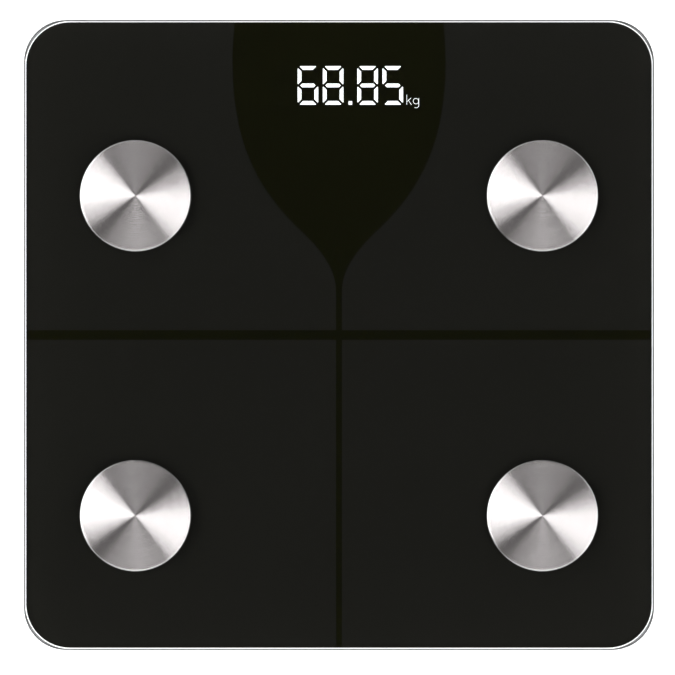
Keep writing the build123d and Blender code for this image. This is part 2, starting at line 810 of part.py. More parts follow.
# Feet, each a moulded cap with a rubber pad, that press on the load cells
shank_bottom_z = pad_height - pad_seat_depth
for name, place in foot_places.items():
    with BuildPart() as foot_cap:
        with Locations(*at_height([place], shank_bottom_z)):
            Cylinder(shank_radius, foot_flange_top_z - shank_bottom_z, align=base)
        chamfer(foot_cap.edges().group_by(Axis.Z)[0], length=fit_gap)
        with Locations(*at_height([place], cover_floor_z)):
            Cylinder(foot_flange_radius, foot_flange_thickness, align=base)
        with Locations(*at_height([place], foot_flange_top_z - foot_pocket_depth)):
            Cylinder(shank_radius - foot_wall, foot_pocket_depth, align=base, mode=Mode.SUBTRACT)
            Cylinder(foot_boss_radius, foot_pocket_depth + foot_boss_height, align=base)
            with PolarLocations(0, foot_ribs):
                Box(
                    shank_radius - foot_wall / 2,
                    rib_thickness,
                    foot_pocket_depth,
                    align=(Align.MIN, Align.CENTER, Align.MIN),
                )
        with Locations(*at_height([place], shank_bottom_z)):
            Cylinder(pad_radius + slip, pad_seat_depth, align=base, mode=Mode.SUBTRACT)
    save(foot_cap.part, f"foot_cap_{name}")

    with BuildPart() as foot_pad:
        with Locations(*at_height([place], 0)):
            Cylinder(pad_radius, pad_height, align=base)
            for groove_radius in pad_groove_radii:
                Cylinder(groove_radius + pad_groove_width, pad_groove_depth, align=base, mode=Mode.SUBTRACT)
                Cylinder(groove_radius, pad_groove_depth, align=base)
    save(foot_pad.part, f"foot_pad_{name}")

# Load cells: a steel plate whose slotted tongue bends under the foot's boss
for name, (side, end) in corners.items():
    x, y = foot_places[name]
    tongue_y = y - end * slot_width / 2
    with BuildPart() as load_cell:
        with BuildSketch(Plane.XY.offset(cell_bottom_z)):
            with Locations((x, y)):
                RectangleRounded(cell_side, cell_side, cell_corner)
                Rectangle(tongue_width + 2 * slot_width, tongue_length + slot_width, mode=Mode.SUBTRACT)
            with Locations((x, tongue_y)):
                Rectangle(tongue_width, tongue_length)
        extrude(amount=cell_thickness)
    save(load_cell.part, f"load_cell_{name}")

gauge_places = [(x, y - math.copysign(gauge_inset, y)) for x, y in foot_places.values()]
with BuildPart() as strain_gauges:
    with Locations(*at_height(gauge_places, cell_bottom_z - gauge_height)):
        Box(gauge_width, gauge_length, gauge_height, align=base)
    fillet(strain_gauges.edges().filter_by(Axis.Z), gauge_height / 2)
save(strain_gauges.part, "strain_gauges")

lead_slot = 2 * gauge_lead_radius + 2 * fit_gap
retainer_opening = cell_side - 2 * retainer_ledge_width
with BuildPart() as cell_retainers:
    with BuildSketch(Plane.XY.offset(ear_bottom_z)):
        with Locations(*ear_places):
            Circle(ear_radius)
        for side, end in corners.values():
            with Locations((side * (foot_place - ear_distance / 2), end * foot_place)):
                Rectangle(ear_distance, 2 * ear_radius)
            with Locations((side * foot_place, end * (foot_place - ear_distance / 2))):
                Rectangle(2 * ear_radius, ear_distance)
    extrude(amount=ear_thickness)
    with BuildSketch(Plane.XY.offset(ear_bottom_z)):
        with Locations(*foot_places.values()):
            RectangleRounded(retainer_side, retainer_side, cell_corner + retainer_wall)
    extrude(amount=frame_bottom_z - ear_bottom_z)
    with BuildSketch(Plane.XY.offset(ear_bottom_z)):
        with Locations(*foot_places.values()):
            RectangleRounded(retainer_opening, retainer_opening, cell_corner)
        with Locations(*ear_places):
            Circle(small_screw_radius + fit_gap)
        for side, end in corners.values():
            with Locations((side * retainer_edge, end * (foot_place - gauge_inset))):
                Rectangle(retainer_side / 2, lead_slot)
    extrude(amount=ear_thickness, mode=Mode.SUBTRACT)
    with BuildSketch(Plane.XY.offset(cell_bottom_z)):
        with Locations(*foot_places.values()):
            RectangleRounded(cell_side + 2 * fit_gap, cell_side + 2 * fit_gap, cell_corner)
    extrude(amount=frame_bottom_z - cell_bottom_z, mode=Mode.SUBTRACT)
save(cell_retainers.part, "cell_retainers")

# Main board, hung from the frame, with its parts
with BuildPart() as main_board:
    with BuildSketch(Plane.XY.offset(board_bottom_z)):
        with Locations((0, board_y)):
            RectangleRounded(board_width, board_length, board_corner)
        with Locations(*board_screw_places):
            Circle(small_screw_radius + fit_gap, mode=Mode.SUBTRACT)
        with Locations((0, display_y)):
            with GridLocations(pin_pitch, 2 * pin_row_offset, pin_columns, 2):
                Circle(pin_radius + slip, mode=Mode.SUBTRACT)
    extrude(amount=board_thickness)
save(main_board.part, "main_board")

chip_y = (board_front + display_y - housing_length / 2) / 2
chip_places = [(x, chip_y) for x in chip_x]
lead_row = chip_side - 2 * chip_lead
with BuildPart() as controller_chips:
    with Locations(*at_height(chip_places, board_top_z + chip_lead / 2)):
        Box(chip_side, chip_side, chip_height, align=base)
    with Locations(*at_height(chip_places, board_top_z)):
        with GridLocations(lead_row / (chip_leads_per_side - 1), chip_side, chip_leads_per_side, 2):
            Box(chip_lead, 2 * chip_lead_reach, chip_height / 2, align=base)
        with GridLocations(chip_side, lead_row / (chip_leads_per_side - 1), 2, chip_leads_per_side):
            Box(2 * chip_lead_reach, chip_lead, chip_height / 2, align=base)
save(controller_chips.part, "controller_chips")

with BuildPart() as crystal:
    with BuildSketch(Plane.XY.offset(board_top_z)):
        with Locations((crystal_x, chip_y)):
            SlotOverall(crystal_length, crystal_width, rotation=90)
    extrude(amount=crystal_height)
save(crystal.part, "crystal")

capacitor_places = [(x, chip_y + side * capacitor_row) for x in capacitor_x for side in (-1, 1)]
with BuildPart() as board_capacitors:
    with Locations(*at_height(capacitor_places, board_top_z)):
        Box(capacitor_width, capacitor_length, capacitor_height, align=base)
save(board_capacitors.part, "board_capacitors")

connectors = [
    (-connector_x, side_connector_ways),
    (0, battery_connector_ways),
    (connector_x, side_connector_ways),
]
with BuildPart() as lead_connectors:
    for x, ways in connectors:
        with Locations((x, connector_front, board_bottom_z - connector_height)):
            Box(
                (ways - 1) * connector_pitch + 2 * connector_end,
                connector_depth,
                connector_height,
                align=(Align.CENTER, Align.MIN, Align.MIN),
            )
    chamfer(lead_connectors.edges().filter_by(Axis.Y).group_by(Axis.Z)[0], length=connector_chamfer)
save(lead_connectors.part, "lead_connectors")

# Unit button: pressed from below, it moves the switch's plunger
with BuildPart() as unit_switch:
    with Locations((switch_x, switch_y, board_bottom_z - switch_height)):
        Box(switch_side, switch_side, switch_height, align=base)
        Cylinder(
            plunger_radius + slip, plunger_depth + button_travel, align=base, mode=Mode.SUBTRACT
        )
save(unit_switch.part, "unit_switch")

plunger_z = cover_floor_z + button_flange_thickness
with BuildPart() as switch_plunger:
    with Locations((switch_x, switch_y, plunger_z)):
        Cylinder(plunger_radius, plunger_height + plunger_depth, align=base)
save(switch_plunger.part, "switch_plunger")

with BuildPart() as unit_button:
    with Locations((switch_x, switch_y, ground_clearance + button_recess)):
        Cylinder(button_radius, casing_wall - button_recess, align=base)
    chamfer(unit_button.edges().group_by(Axis.Z)[0], length=button_recess)
    with Locations((switch_x, switch_y, cover_floor_z)):
        Cylinder(button_flange_radius, button_flange_thickness, align=base)
save(unit_button.part, "unit_button")

# Batteries lie side by side, each turned end for end from its neighbour
bay_front_inside = bay_y - bay_length / 2
bay_back_inside = bay_y + bay_length / 2
battery_turns = [1 if slot % 2 == 0 else -1 for slot in range(cell_count)]
with BuildPart() as batteries:
    for x, turn in zip(battery_places, battery_turns):
        nub_end = bay_back_inside if turn > 0 else bay_front_inside
        shoulder = nub_end - turn * (contact_thickness + battery_nub_length)
        with BuildSketch(Plane((x, shoulder, battery_z), z_dir=(0, -turn, 0))):
            Circle(battery_radius)
        extrude(amount=battery_length - battery_nub_length)
        with BuildSketch(Plane((x, shoulder, battery_z), z_dir=(0, turn, 0))):
            Circle(battery_nub_radius)
        extrude(amount=battery_nub_length)
    fillet(batteries.edges().filter_by(GeomType.CIRCLE).group_by(SortBy.RADIUS)[-1], battery_edge_radius)
save(batteries.part, "batteries")

with BuildPart() as battery_springs:
    for x, turn in zip(battery_places, battery_turns):
        start = bay_front_inside if turn > 0 else bay_back_inside
        first = start + turn * (contact_thickness + spring_wire_radius + slip)
        height = spring_length - 2 * (spring_wire_radius + slip)
        with BuildLine():
            coil = Helix(
                pitch=height / spring_turns,
                height=height,
                radius=spring_radius,
                center=(x, first, battery_z),
                direction=(0, turn, 0),
            )
        with BuildSketch(Plane(origin=coil @ 0, z_dir=coil % 0)):
            Circle(spring_wire_radius)
        sweep(path=coil, is_frenet=True)
save(battery_springs.part, "battery_springs")

# Contact plates: single ones at the two ends of the chain, wide ones between neighbours
contact_single = battery_pitch - 2 * contact_margin
contact_double = contact_single + battery_pitch
with BuildPart() as battery_contacts:
    with Locations(
        *[(battery_places[slot], bay_back_inside - contact_thickness / 2, contact_z) for slot in (0, -1)]
    ):
        Box(contact_single, contact_thickness, contact_height, align=base)
    with Locations((bay_x, bay_back_inside - contact_thickness / 2, contact_z)):
        Box(contact_double, contact_thickness, contact_height, align=base)
    with Locations(
        *[
            (bay_x + side * battery_pitch, bay_front_inside + contact_thickness / 2, contact_z)
            for side in (-1, 1)
        ]
    ):
        Box(contact_double, contact_thickness, contact_height, align=base)
    with Locations(*[(battery_places[slot], bay_back_inside, lead_z) for slot in (0, -1)]):
        Box(
            lug_width,
            bay_wall + lug_length,
            contact_thickness,
            align=(Align.CENTER, Align.MIN, Align.CENTER),
        )
save(battery_contacts.part, "battery_contacts")

# Battery door: hooks at the front swing in slots, and a sprung latch holds the back
door_back = latch_start + latch_strip + slip
hook_z = cover_floor_z + fit_gap / 2
door_front = bay_y - door_length / 2
with BuildPart() as battery_door:
    with BuildSketch(Plane.XY.offset(ground_clearance)):
        with Locations((bay_x, bay_y)):
            Rectangle(door_width, door_length)
            Rectangle(latch_width, door_back - bay_y, align=(Align.CENTER, Align.MIN))
    extrude(amount=door_thickness)
    for side in (-1, 1):
        with Locations((bay_x + side * hook_x, door_front + fit_gap / 2, door_top_z)):
            Box(
                hook_width,
                hook_thickness,
                hook_z + hook_thickness - door_top_z,
                align=(Align.CENTER, Align.MIN, Align.MIN),
            )
        with Locations((bay_x + side * hook_x, door_front - fit_gap - hook_reach, hook_z)):
            Box(
                hook_width,
                hook_reach + fit_gap + hook_thickness,
                hook_thickness,
                align=(Align.CENTER, Align.MIN, Align.MIN),
            )
save(battery_door.part, "battery_door")

latch_near = latch_start + latch_strip / 2
latch_far = latch_near + latch_span
latch_bend_z = door_top_z + latch_height - latch_strip / 2 - latch_span / 2
latch_foot_z = ground_clearance + fit_gap
nose_z = cover_floor_z + fit_gap / 2
latch_side = bay_x - latch_width / 2
with BuildPart() as door_latch:
    with BuildSketch(Plane.YZ.offset(latch_side)):
        with BuildLine():
            near_leg = Line((latch_near, door_top_z), (latch_near, latch_bend_z))
            bend = TangentArc(near_leg @ 1, (latch_far, latch_bend_z), tangent=(0, 1))
            Line(bend @ 1, (latch_far, latch_foot_z))
        trace(line_width=latch_strip)
        Polygon(
            (latch_far, nose_z),
            (latch_far + latch_strip / 2 + latch_nose, nose_z),
            (latch_far, nose_z + latch_nose + latch_nose_height),
            align=None,
        )
    extrude(amount=latch_width)
save(door_latch.part, "door_latch")


# Leads: straight runs joined by tangent arcs, as large as their runs allow
def bend_radii(points):
    radii = []
    for before, here, after in zip(points, points[1:], points[2:]):
        run_in = Vector(*here) - Vector(*before)
        run_out = Vector(*after) - Vector(*here)
        half_turn = math.radians(run_in.get_angle(run_out)) / 2
        radii.append(lead_bend * min(run_in.length, run_out.length) / math.tan(half_turn))
    return radii


def lead_group(routes, radius):
    with BuildPart() as leads:
        for route in routes:
            radii = bend_radii(route)
            print("bend radii of a lead:", [round(bend, 1) for bend in radii])
            with BuildLine():
                path = FilletPolyline(*route, radius=radii)
            with BuildSketch(Plane(origin=path @ 0, z_dir=path % 0)):
                Circle(radius)
            sweep(path=path)
    return leads.part


def mirrored(route):
    return [(-x, y, z) for x, y, z in route]


first_way_x = connector_x - (side_connector_ways - 1) * connector_pitch / 2
way_x = [first_way_x + way * connector_pitch for way in range(side_connector_ways)]
gauge_z = cell_bottom_z - gauge_height / 2
gauge_start = foot_place - gauge_width / 2
slot_y = foot_place - gauge_inset
cell_routes = [
    [
        (-gauge_start, slot_y, gauge_z),
        (7.3 - retainer_edge, slot_y, gauge_z),
        (21.3 - retainer_edge, slot_y - 8, lead_z + 0.4),
        (-57, connector_front - 8.5, lead_z),
        (-42, connector_front - 13, lead_z),
        (-way_x[3], connector_front - 12, lead_z),
        (-way_x[3], connector_front, lead_z),
    ],
    [
        (-gauge_start, -slot_y, gauge_z),
        (7.3 - retainer_edge, -slot_y, gauge_z),
        (25.3 - retainer_edge, 4 - slot_y, lead_z + 0.2),
        (37.3 - retainer_edge, 21.1 - slot_y, lead_z),
        (-46, -40, lead_z),
        (-42, 16, lead_z),
        (-34, connector_front - 38.5, lead_z),
        (-way_x[0], connector_front - 22.5, lead_z),
        (-way_x[0], connector_front, lead_z),
    ],
]
load_cell_leads = lead_group(cell_routes + [mirrored(route) for route in cell_routes], gauge_lead_radius)
save(load_cell_leads, "load_cell_leads")

barrel_end = electrode_x - terminal_tail - barrel_length
electrode_routes = [
    [
        (-barrel_end, electrode_back_y, barrel_z),
        (5.4 - barrel_end, electrode_back_y, barrel_z),
        (16.4 - barrel_end, electrode_back_y + 0.5, lead_z + 1),
        (-57, electrode_back_y + 1, lead_z),
        (-44, electrode_back_y + 1.5, lead_z),
        (-way_x[2], electrode_back_y + 5, lead_z),
        (-way_x[2], connector_front, lead_z),
    ],
    [
        (-barrel_end, electrode_front_y, barrel_z),
        (5.4 - barrel_end, electrode_front_y, barrel_z),
        (18.4 - barrel_end, electrode_front_y + 6, lead_z + 0.5),
        (22.4 - barrel_end, electrode_front_y + 20, lead_z),
        (-59, -40, lead_z),
        (-53, 20, lead_z),
        (-41, connector_front - 34.5, lead_z),
        (-way_x[1], connector_front - 20.5, lead_z),
        (-way_x[1], connector_front, lead_z),
    ],
]
electrode_leads = lead_group(electrode_routes + [mirrored(route) for route in electrode_routes], lead_radius)
save(electrode_leads, "electrode_leads")

battery_run = connector_front - bay_back
battery_route = [
    (battery_places[0], bay_back + lug_length, lead_z),
    (battery_places[0], bay_back + 0.33 * battery_run, lead_z),
    (-9, bay_back + 0.55 * battery_run, lead_z),
    (-connector_pitch / 2, bay_back + 0.72 * battery_run, lead_z),
    (-connector_pitch / 2, connector_front, lead_z),
]
battery_leads = lead_group([battery_route, mirrored(battery_route)], lead_radius)
save(battery_leads, "battery_leads")
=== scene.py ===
import bmesh
import bpy
import json
import math
from mathutils import Matrix, Vector


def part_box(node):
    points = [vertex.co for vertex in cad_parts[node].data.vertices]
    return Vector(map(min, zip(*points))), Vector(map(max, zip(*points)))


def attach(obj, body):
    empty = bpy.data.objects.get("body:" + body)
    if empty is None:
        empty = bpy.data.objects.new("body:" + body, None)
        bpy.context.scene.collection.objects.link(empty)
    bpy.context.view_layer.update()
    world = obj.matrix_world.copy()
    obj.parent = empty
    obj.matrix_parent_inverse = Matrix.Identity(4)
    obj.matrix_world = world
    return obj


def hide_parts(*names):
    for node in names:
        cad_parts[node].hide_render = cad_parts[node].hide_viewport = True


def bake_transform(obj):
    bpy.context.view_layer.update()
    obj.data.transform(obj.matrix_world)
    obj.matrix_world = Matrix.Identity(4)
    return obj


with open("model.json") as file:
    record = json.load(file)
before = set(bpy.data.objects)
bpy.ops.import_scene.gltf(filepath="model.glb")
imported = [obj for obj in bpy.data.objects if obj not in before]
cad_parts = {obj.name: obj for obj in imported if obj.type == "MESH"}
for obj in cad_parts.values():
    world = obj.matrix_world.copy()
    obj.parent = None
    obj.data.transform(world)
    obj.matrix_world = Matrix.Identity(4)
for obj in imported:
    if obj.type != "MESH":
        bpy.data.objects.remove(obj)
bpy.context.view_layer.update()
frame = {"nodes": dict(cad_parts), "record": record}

# A square glass bathroom scale: +Y points at the display, and the floor is at z = 0
mm = 0.001
nodes = frame["nodes"]
weld = 2e-6  # points nearer to each other than this are one
hair = 0.01 * mm  # too little to see
level = 0.99  # a face is level where its normal's height is past this
# each corner as the frame names it, and as the pieces' names end
corners = {
    "back_left": "BackLeft", "back_right": "BackRight",
    "front_left": "FrontLeft", "front_right": "FrontRight",
}
# the sockets of a Mix node that mixes colours
mixFactor, mixFirst, mixSecond, mixResult = 0, 6, 7, 2


def linear(hexColour):
    channels = [int(hexColour[i:i + 2], 16) / 255 for i in (1, 3, 5)]
    return [c / 12.92 if c <= 0.04045 else ((c + 0.055) / 1.055) ** 2.4 for c in channels] + [1.0]


def shaded(hexColour, share):
    # the colour, darker or lighter by this factor
    return [min(1, c * share) for c in linear(hexColour)[:3]] + [1]


def grey(value):
    return [value] * 3 + [1]


def addNode(tree, kind, settings=None, links=None):
    # settings are the node's own properties or its sockets' values, links are sockets to join
    made = tree.nodes.new("ShaderNode" + kind)
    for key, value in (settings or {}).items():
        if isinstance(key, str) and hasattr(made, key):
            setattr(made, key, value)
        else:
            made.inputs[key].default_value = value
    for key, source in (links or {}).items():
        tree.links.new(source, made.inputs[key])
    return made


def newMaterial(name):
    material = bpy.data.materials.new(name)
    material.use_nodes = True
    tree = material.node_tree
    tree.nodes.clear()
    return material, tree, addNode(tree, "TexCoord").outputs["Object"]


def perMetre(featureMm):
    # a texture's scale for features of this size
    return 1 / (featureMm * mm)


def mottled(tree, coordinates, colour, spread, featureMm):
    # the colour drifts by a share of itself, in patches of this size
    settings = {"Scale": perMetre(featureMm), "Detail": 3}
    drift = addNode(tree, "TexNoise", settings, {"Vector": coordinates}).outputs["Fac"]
    dark, light = shaded(colour, 1 - spread), shaded(colour, 1 + spread)
    settings = {"data_type": "RGBA", mixFirst: dark, mixSecond: light}
    return addNode(tree, "Mix", settings, {mixFactor: drift}).outputs[mixResult], drift


# Toughened float glass: clear, with polished faces and a green tint that only shows the long way
# through, at the edge. Its rim is a matt ground arris. The arris and the fade inside it are given
# for the straight sides and for the middle of a corner, and change smoothly in between
glassLook = {
    "ior": 1.52, "tint": "#d3f5ea", "tintPerMetre": 5.0, "cornerMm": 20.0, "arrisMm": (0.5, 0.6),
    "fadeMm": (0.08, 0.9), "ground": "#4d4e4e", "groundRoughness": 0.6, "roughnessSwing": 0.1,
    "grit": 0.08, "gritMm": 0.3, "facesUp": 0.2,
}


def toughenedGlass():
    look = glassLook
    material, tree, coordinates = newMaterial("toughened float glass")
    normal = addNode(tree, "NewGeometry").outputs["Normal"]
    up = addNode(tree, "SeparateXYZ", {}, {0: normal}).outputs["Z"]
    upper = addNode(tree, "Math", {"operation": "GREATER_THAN", 1: look["facesUp"]}, {0: up}).outputs[0]

    # the reach is how far a point lies outwards from the corners' centres or the lines between them
    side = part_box("glass_platform")[1].x - look["cornerMm"] * mm
    folded = addNode(tree, "VectorMath", {"operation": "ABSOLUTE"}, {0: coordinates}).outputs[0]
    moved = addNode(
        tree, "VectorMath", {"operation": "SUBTRACT", 1: (side, side, 0)}, {0: folded}
    ).outputs[0]
    beyond = addNode(tree, "VectorMath", {"operation": "MAXIMUM", 1: (0, 0, 0)}, {0: moved}).outputs[0]
    inPlan = addNode(
        tree, "VectorMath", {"operation": "MULTIPLY", 1: (1, 1, 0)}, {0: beyond}
    ).outputs[0]
    reach = addNode(tree, "VectorMath", {"operation": "LENGTH"}, {0: inPlan}).outputs["Value"]

    # 0 along the straight sides, 0.5 in the middle of a corner
    heading = addNode(tree, "VectorMath", {"operation": "NORMALIZE"}, {0: inPlan}).outputs[0]
    parts = addNode(tree, "SeparateXYZ", {}, {0: heading}).outputs
    diagonal = addNode(tree, "Math", {"operation": "MULTIPLY"}, {0: parts["X"], 1: parts["Y"]}).outputs[0]

    mattReach = [(look["cornerMm"] - width) * mm for width in look["arrisMm"]]
    clearReach = [matt - fade * mm for matt, fade in zip(mattReach, look["fadeMm"])]
    mattFrom, clearTo = [
        addNode(
            tree, "MapRange", {"From Max": 0.5, "To Min": onSide, "To Max": atCorner}, {"Value": diagonal}
        ).outputs["Result"]
        for onSide, atCorner in (mattReach, clearReach)
    ]
    outside = addNode(
        tree, "MapRange", {}, {"Value": reach, "From Min": clearTo, "From Max": mattFrom}
    ).outputs["Result"]
    arris = addNode(tree, "Math", {"operation": "MULTIPLY"}, {0: upper, 1: outside}).outputs[0]

    clearGlass = {"Base Color": grey(1), "Roughness": 0.0, "IOR": look["ior"], "Transmission Weight": 1.0}
    polished = addNode(tree, "BsdfPrincipled", clearGlass)
    shade, grit = mottled(tree, coordinates, look["ground"], look["grit"], look["gritMm"])
    swing = {
        "To Min": look["groundRoughness"] - look["roughnessSwing"],
        "To Max": look["groundRoughness"] + look["roughnessSwing"],
    }
    rough = addNode(tree, "MapRange", swing, {"Value": grit}).outputs["Result"]
    ground = addNode(
        tree, "BsdfPrincipled", {"IOR": look["ior"]}, {"Base Color": shade, "Roughness": rough}
    )
    both = addNode(tree, "MixShader", {}, {0: arris, 1: polished.outputs[0], 2: ground.outputs[0]})
    tinted = {"Color": linear(look["tint"]), "Density": look["tintPerMetre"]}
    tint = addNode(tree, "VolumeAbsorption", tinted)
    addNode(tree, "OutputMaterial", {}, {"Surface": both.outputs[0], "Volume": tint.outputs[0]})
    return material


# Screen-printed ceramic ink: matt, nearly black, with the faint unevenness of the mesh
inkFinish = {"roughness": 0.9, "mottle": 0.03, "mottleMm": 6.0}


def screenInk(name, colour):
    material, tree, coordinates = newMaterial(name)
    shade = mottled(tree, coordinates, colour, inkFinish["mottle"], inkFinish["mottleMm"])[0]
    settings = {"Roughness": inkFinish["roughness"], "Specular IOR Level": 0.0}
    shader = addNode(tree, "BsdfPrincipled", settings, {"Base Color": shade})
    addNode(tree, "OutputMaterial", {}, {"Surface": shader.outputs[0]})
    return material


# Clear acrylic light guides over white diodes: a white glow, very slightly uneven
litLook = {
    "glow": "#fbfdff", "strength": 1.05, "body": "#f4f6f8", "roughness": 0.3, "mottle": 0.02, "mottleMm": 1.5,
}


def litAcrylic():
    look = litLook
    material, tree, coordinates = newMaterial("lit acrylic")
    glow = mottled(tree, coordinates, look["glow"], look["mottle"], look["mottleMm"])[0]
    settings = {
        "Base Color": linear(look["body"]), "Roughness": look["roughness"],
        "Emission Strength": look["strength"],
    }
    shader = addNode(tree, "BsdfPrincipled", settings, {"Emission Color": glow})
    addNode(tree, "OutputMaterial", {}, {"Surface": shader.outputs[0]})
    return material


# Stainless steel, face-turned: grooves run round the middle, so the light spreads across them into
# opposite fans. The grooves are round-bottomed and lean outwards a little, as the tool leaves them.
# The feed's drift changes their lean and shade in uneven rings. Real rings are as fine as the
# grooves: these are drawn 1.1 mm wide, so that they show
steelLook = {
    "colour": "#cec8c7", "roughness": 0.25, "roughnessSwing": 0.05, "anisotropic": 1.0,
    "pitchMm": 0.11, "slope": 0.32, "lean": 0.05,
    "ringMm": 1.1, "ringShade": 0.05, "ringLean": 0.055, "wanderMm": 2.5, "wander": 1.2, "wanderDetail": 5,
}


def turnedSteel(name, centre):
    look = steelLook
    material, tree, coordinates = newMaterial(name)
    settings = {"Location": (-centre[0], -centre[1], 0), "Scale": (1, 1, 0)}
    fromCentre = addNode(tree, "Mapping", settings, {"Vector": coordinates}).outputs[0]
    outward = addNode(tree, "VectorMath", {"operation": "NORMALIZE"}, {0: fromCentre}).outputs[0]
    radius = addNode(tree, "VectorMath", {"operation": "LENGTH"}, {0: fromCentre}).outputs["Value"]

    # 0 to 1 and back over each ring
    settings = {
        "noise_dimensions": "1D", "Scale": perMetre(look["wanderMm"]), "Detail": look["wanderDetail"],
    }
    uneven = addNode(tree, "TexNoise", settings, {"W": radius}).outputs["Fac"]
    turns = addNode(tree, "Math", {"operation": "DIVIDE", 1: look["ringMm"] * mm}, {0: radius}).outputs[0]
    wandering = addNode(
        tree, "Math", {"operation": "MULTIPLY_ADD", 1: look["wander"]}, {0: uneven, 2: turns}
    ).outputs[0]
    folded = addNode(tree, "Math", {"operation": "PINGPONG", 1: 0.5}, {0: wandering}).outputs[0]
    rings = addNode(tree, "MapRange", {"From Max": 0.5}, {"Value": folded}).outputs["Result"]
    settings = {
        "data_type": "RGBA", mixFirst: shaded(look["colour"], 1 - look["ringShade"]),
        mixSecond: linear(look["colour"]),
    }
    shade = addNode(tree, "Mix", settings, {mixFactor: rings}).outputs[mixResult]

    # each groove's slope runs from one wall to the other, on top of the lean
    grooves = addNode(tree, "Math", {"operation": "DIVIDE", 1: look["pitchMm"] * mm}, {0: radius}).outputs[0]
    across = addNode(tree, "Math", {"operation": "FRACT"}, {0: grooves}).outputs[0]
    settings = {"To Min": -look["slope"], "To Max": look["slope"]}
    profile = addNode(tree, "MapRange", settings, {"Value": across}).outputs["Result"]
    settings = {"To Min": look["lean"] - look["ringLean"], "To Max": look["lean"] + look["ringLean"]}
    lean = addNode(tree, "MapRange", settings, {"Value": rings}).outputs["Result"]
    slope = addNode(tree, "Math", {"operation": "ADD"}, {0: profile, 1: lean}).outputs[0]
    leaning = addNode(tree, "VectorMath", {"operation": "SCALE"}, {0: outward, "Scale": slope}).outputs[0]
    upright = addNode(tree, "NewGeometry").outputs["Normal"]
    tilted = addNode(tree, "VectorMath", {"operation": "ADD"}, {0: upright, 1: leaning}).outputs[0]
    normal = addNode(tree, "VectorMath", {"operation": "NORMALIZE"}, {0: tilted}).outputs[0]

    settings = {
        "To Min": look["roughness"] * (1 - look["roughnessSwing"]),
        "To Max": look["roughness"] * (1 + look["roughnessSwing"]),
    }
    rough = addNode(tree, "MapRange", settings, {"Value": uneven}).outputs["Result"]
    settings = {"Metallic": 1.0, "Anisotropic": look["anisotropic"]}
    links = {"Base Color": shade, "Roughness": rough, "Tangent": outward, "Normal": normal}
    shader = addNode(tree, "BsdfPrincipled", settings, links)
    addNode(tree, "OutputMaterial", {}, {"Surface": shader.outputs[0]})
    return material


# Metal that is polished, plated or rolled: its roughness drifts a little, as handling marks do
metalLook = {"mottle": 0.05, "roughnessSwing": 0.2}


def smoothMetal(name, colour, roughness, featureMm=4.0):
    look = metalLook
    material, tree, coordinates = newMaterial(name)
    shade, drift = mottled(tree, coordinates, colour, look["mottle"], featureMm)
    swing = look["roughnessSwing"]
    settings = {"To Min": roughness * (1 - swing), "To Max": roughness * (1 + swing)}
    rough = addNode(tree, "MapRange", settings, {"Value": drift}).outputs["Result"]
    shader = addNode(
        tree, "BsdfPrincipled", {"Metallic": 1.0}, {"Base Color": shade, "Roughness": rough}
    )
    addNode(tree, "OutputMaterial", {}, {"Surface": shader.outputs[0]})
    return material


# Injection-moulded plastic: the mould's spark-eroded grain is a fine bump, with painted shade in its pits,
# and the gloss varies with it. The grain is drawn a few times coarser than real, so that it shows
plasticLook = {
    "ior": 1.5, "mottle": 0.08, "mottleMm": 22.0, "bumpMm": 0.04, "pitNoise": (0.32, 0.58),
    "paintedPitShade": (0.55, 1.0), "glossNoise": (0.3, 0.7), "roughnessSwing": 0.08,
}


def mouldedPlastic(name, colour, roughness, grainMm=0.4):
    look = plasticLook
    material, tree, coordinates = newMaterial(name)
    shade = mottled(tree, coordinates, colour, look["mottle"], look["mottleMm"])[0]
    settings = {"Scale": perMetre(grainMm), "Detail": 3}
    pits = addNode(tree, "TexNoise", settings, {"Vector": coordinates}).outputs["Fac"]
    settings = {
        "From Min": look["pitNoise"][0], "From Max": look["pitNoise"][1],
        "To Min": look["paintedPitShade"][0], "To Max": look["paintedPitShade"][1],
    }
    # painted shade: the colour is darker where the grain dips
    pitShadeShare = addNode(tree, "MapRange", settings, {"Value": pits}).outputs["Result"]
    pitShaded = addNode(tree, "VectorMath", {"operation": "SCALE"}, {0: shade, "Scale": pitShadeShare}).outputs[0]
    settings = {"Distance": look["bumpMm"] * mm, "Strength": 1.0}
    bump = addNode(tree, "Bump", settings, {"Height": pits}).outputs[0]
    settings = {
        "From Min": look["glossNoise"][0], "From Max": look["glossNoise"][1],
        "To Min": roughness + look["roughnessSwing"], "To Max": roughness - look["roughnessSwing"],
    }
    rough = addNode(tree, "MapRange", settings, {"Value": pits}).outputs["Result"]
    links = {"Base Color": pitShaded, "Roughness": rough, "Normal": bump}
    shader = addNode(tree, "BsdfPrincipled", {"IOR": look["ior"]}, links)
    addNode(tree, "OutputMaterial", {}, {"Surface": shader.outputs[0]})
    return material


# Soft rubber, foam, sealant and glue: dull, with a pattern of pores, and painted shade darkening each pore
# where it dips
softLook = {"paintedPoreShade": 0.75, "poreDepth": 0.125, "bump": 0.5, "specular": 0.3}


def softSolid(name, colour, poreMm, roughness=0.85):
    look = softLook
    material, tree, coordinates = newMaterial(name)
    pores = addNode(
        tree, "TexVoronoi", {"Scale": perMetre(poreMm)}, {"Vector": coordinates}
    ).outputs["Distance"]
    # painted shade: the colour is darker towards the bottom of each pore
    settings = {
        "data_type": "RGBA", mixFirst: shaded(colour, look["paintedPoreShade"]), mixSecond: linear(colour),
    }
    shade = addNode(tree, "Mix", settings, {mixFactor: pores}).outputs[mixResult]
    settings = {"Distance": poreMm * mm * look["poreDepth"], "Strength": look["bump"]}
    bump = addNode(tree, "Bump", settings, {"Height": pores}).outputs[0]
    settings = {"Roughness": roughness, "Specular IOR Level": look["specular"]}
    shader = addNode(tree, "BsdfPrincipled", settings, {"Base Color": shade, "Normal": bump})
    addNode(tree, "OutputMaterial", {}, {"Surface": shader.outputs[0]})
    return material


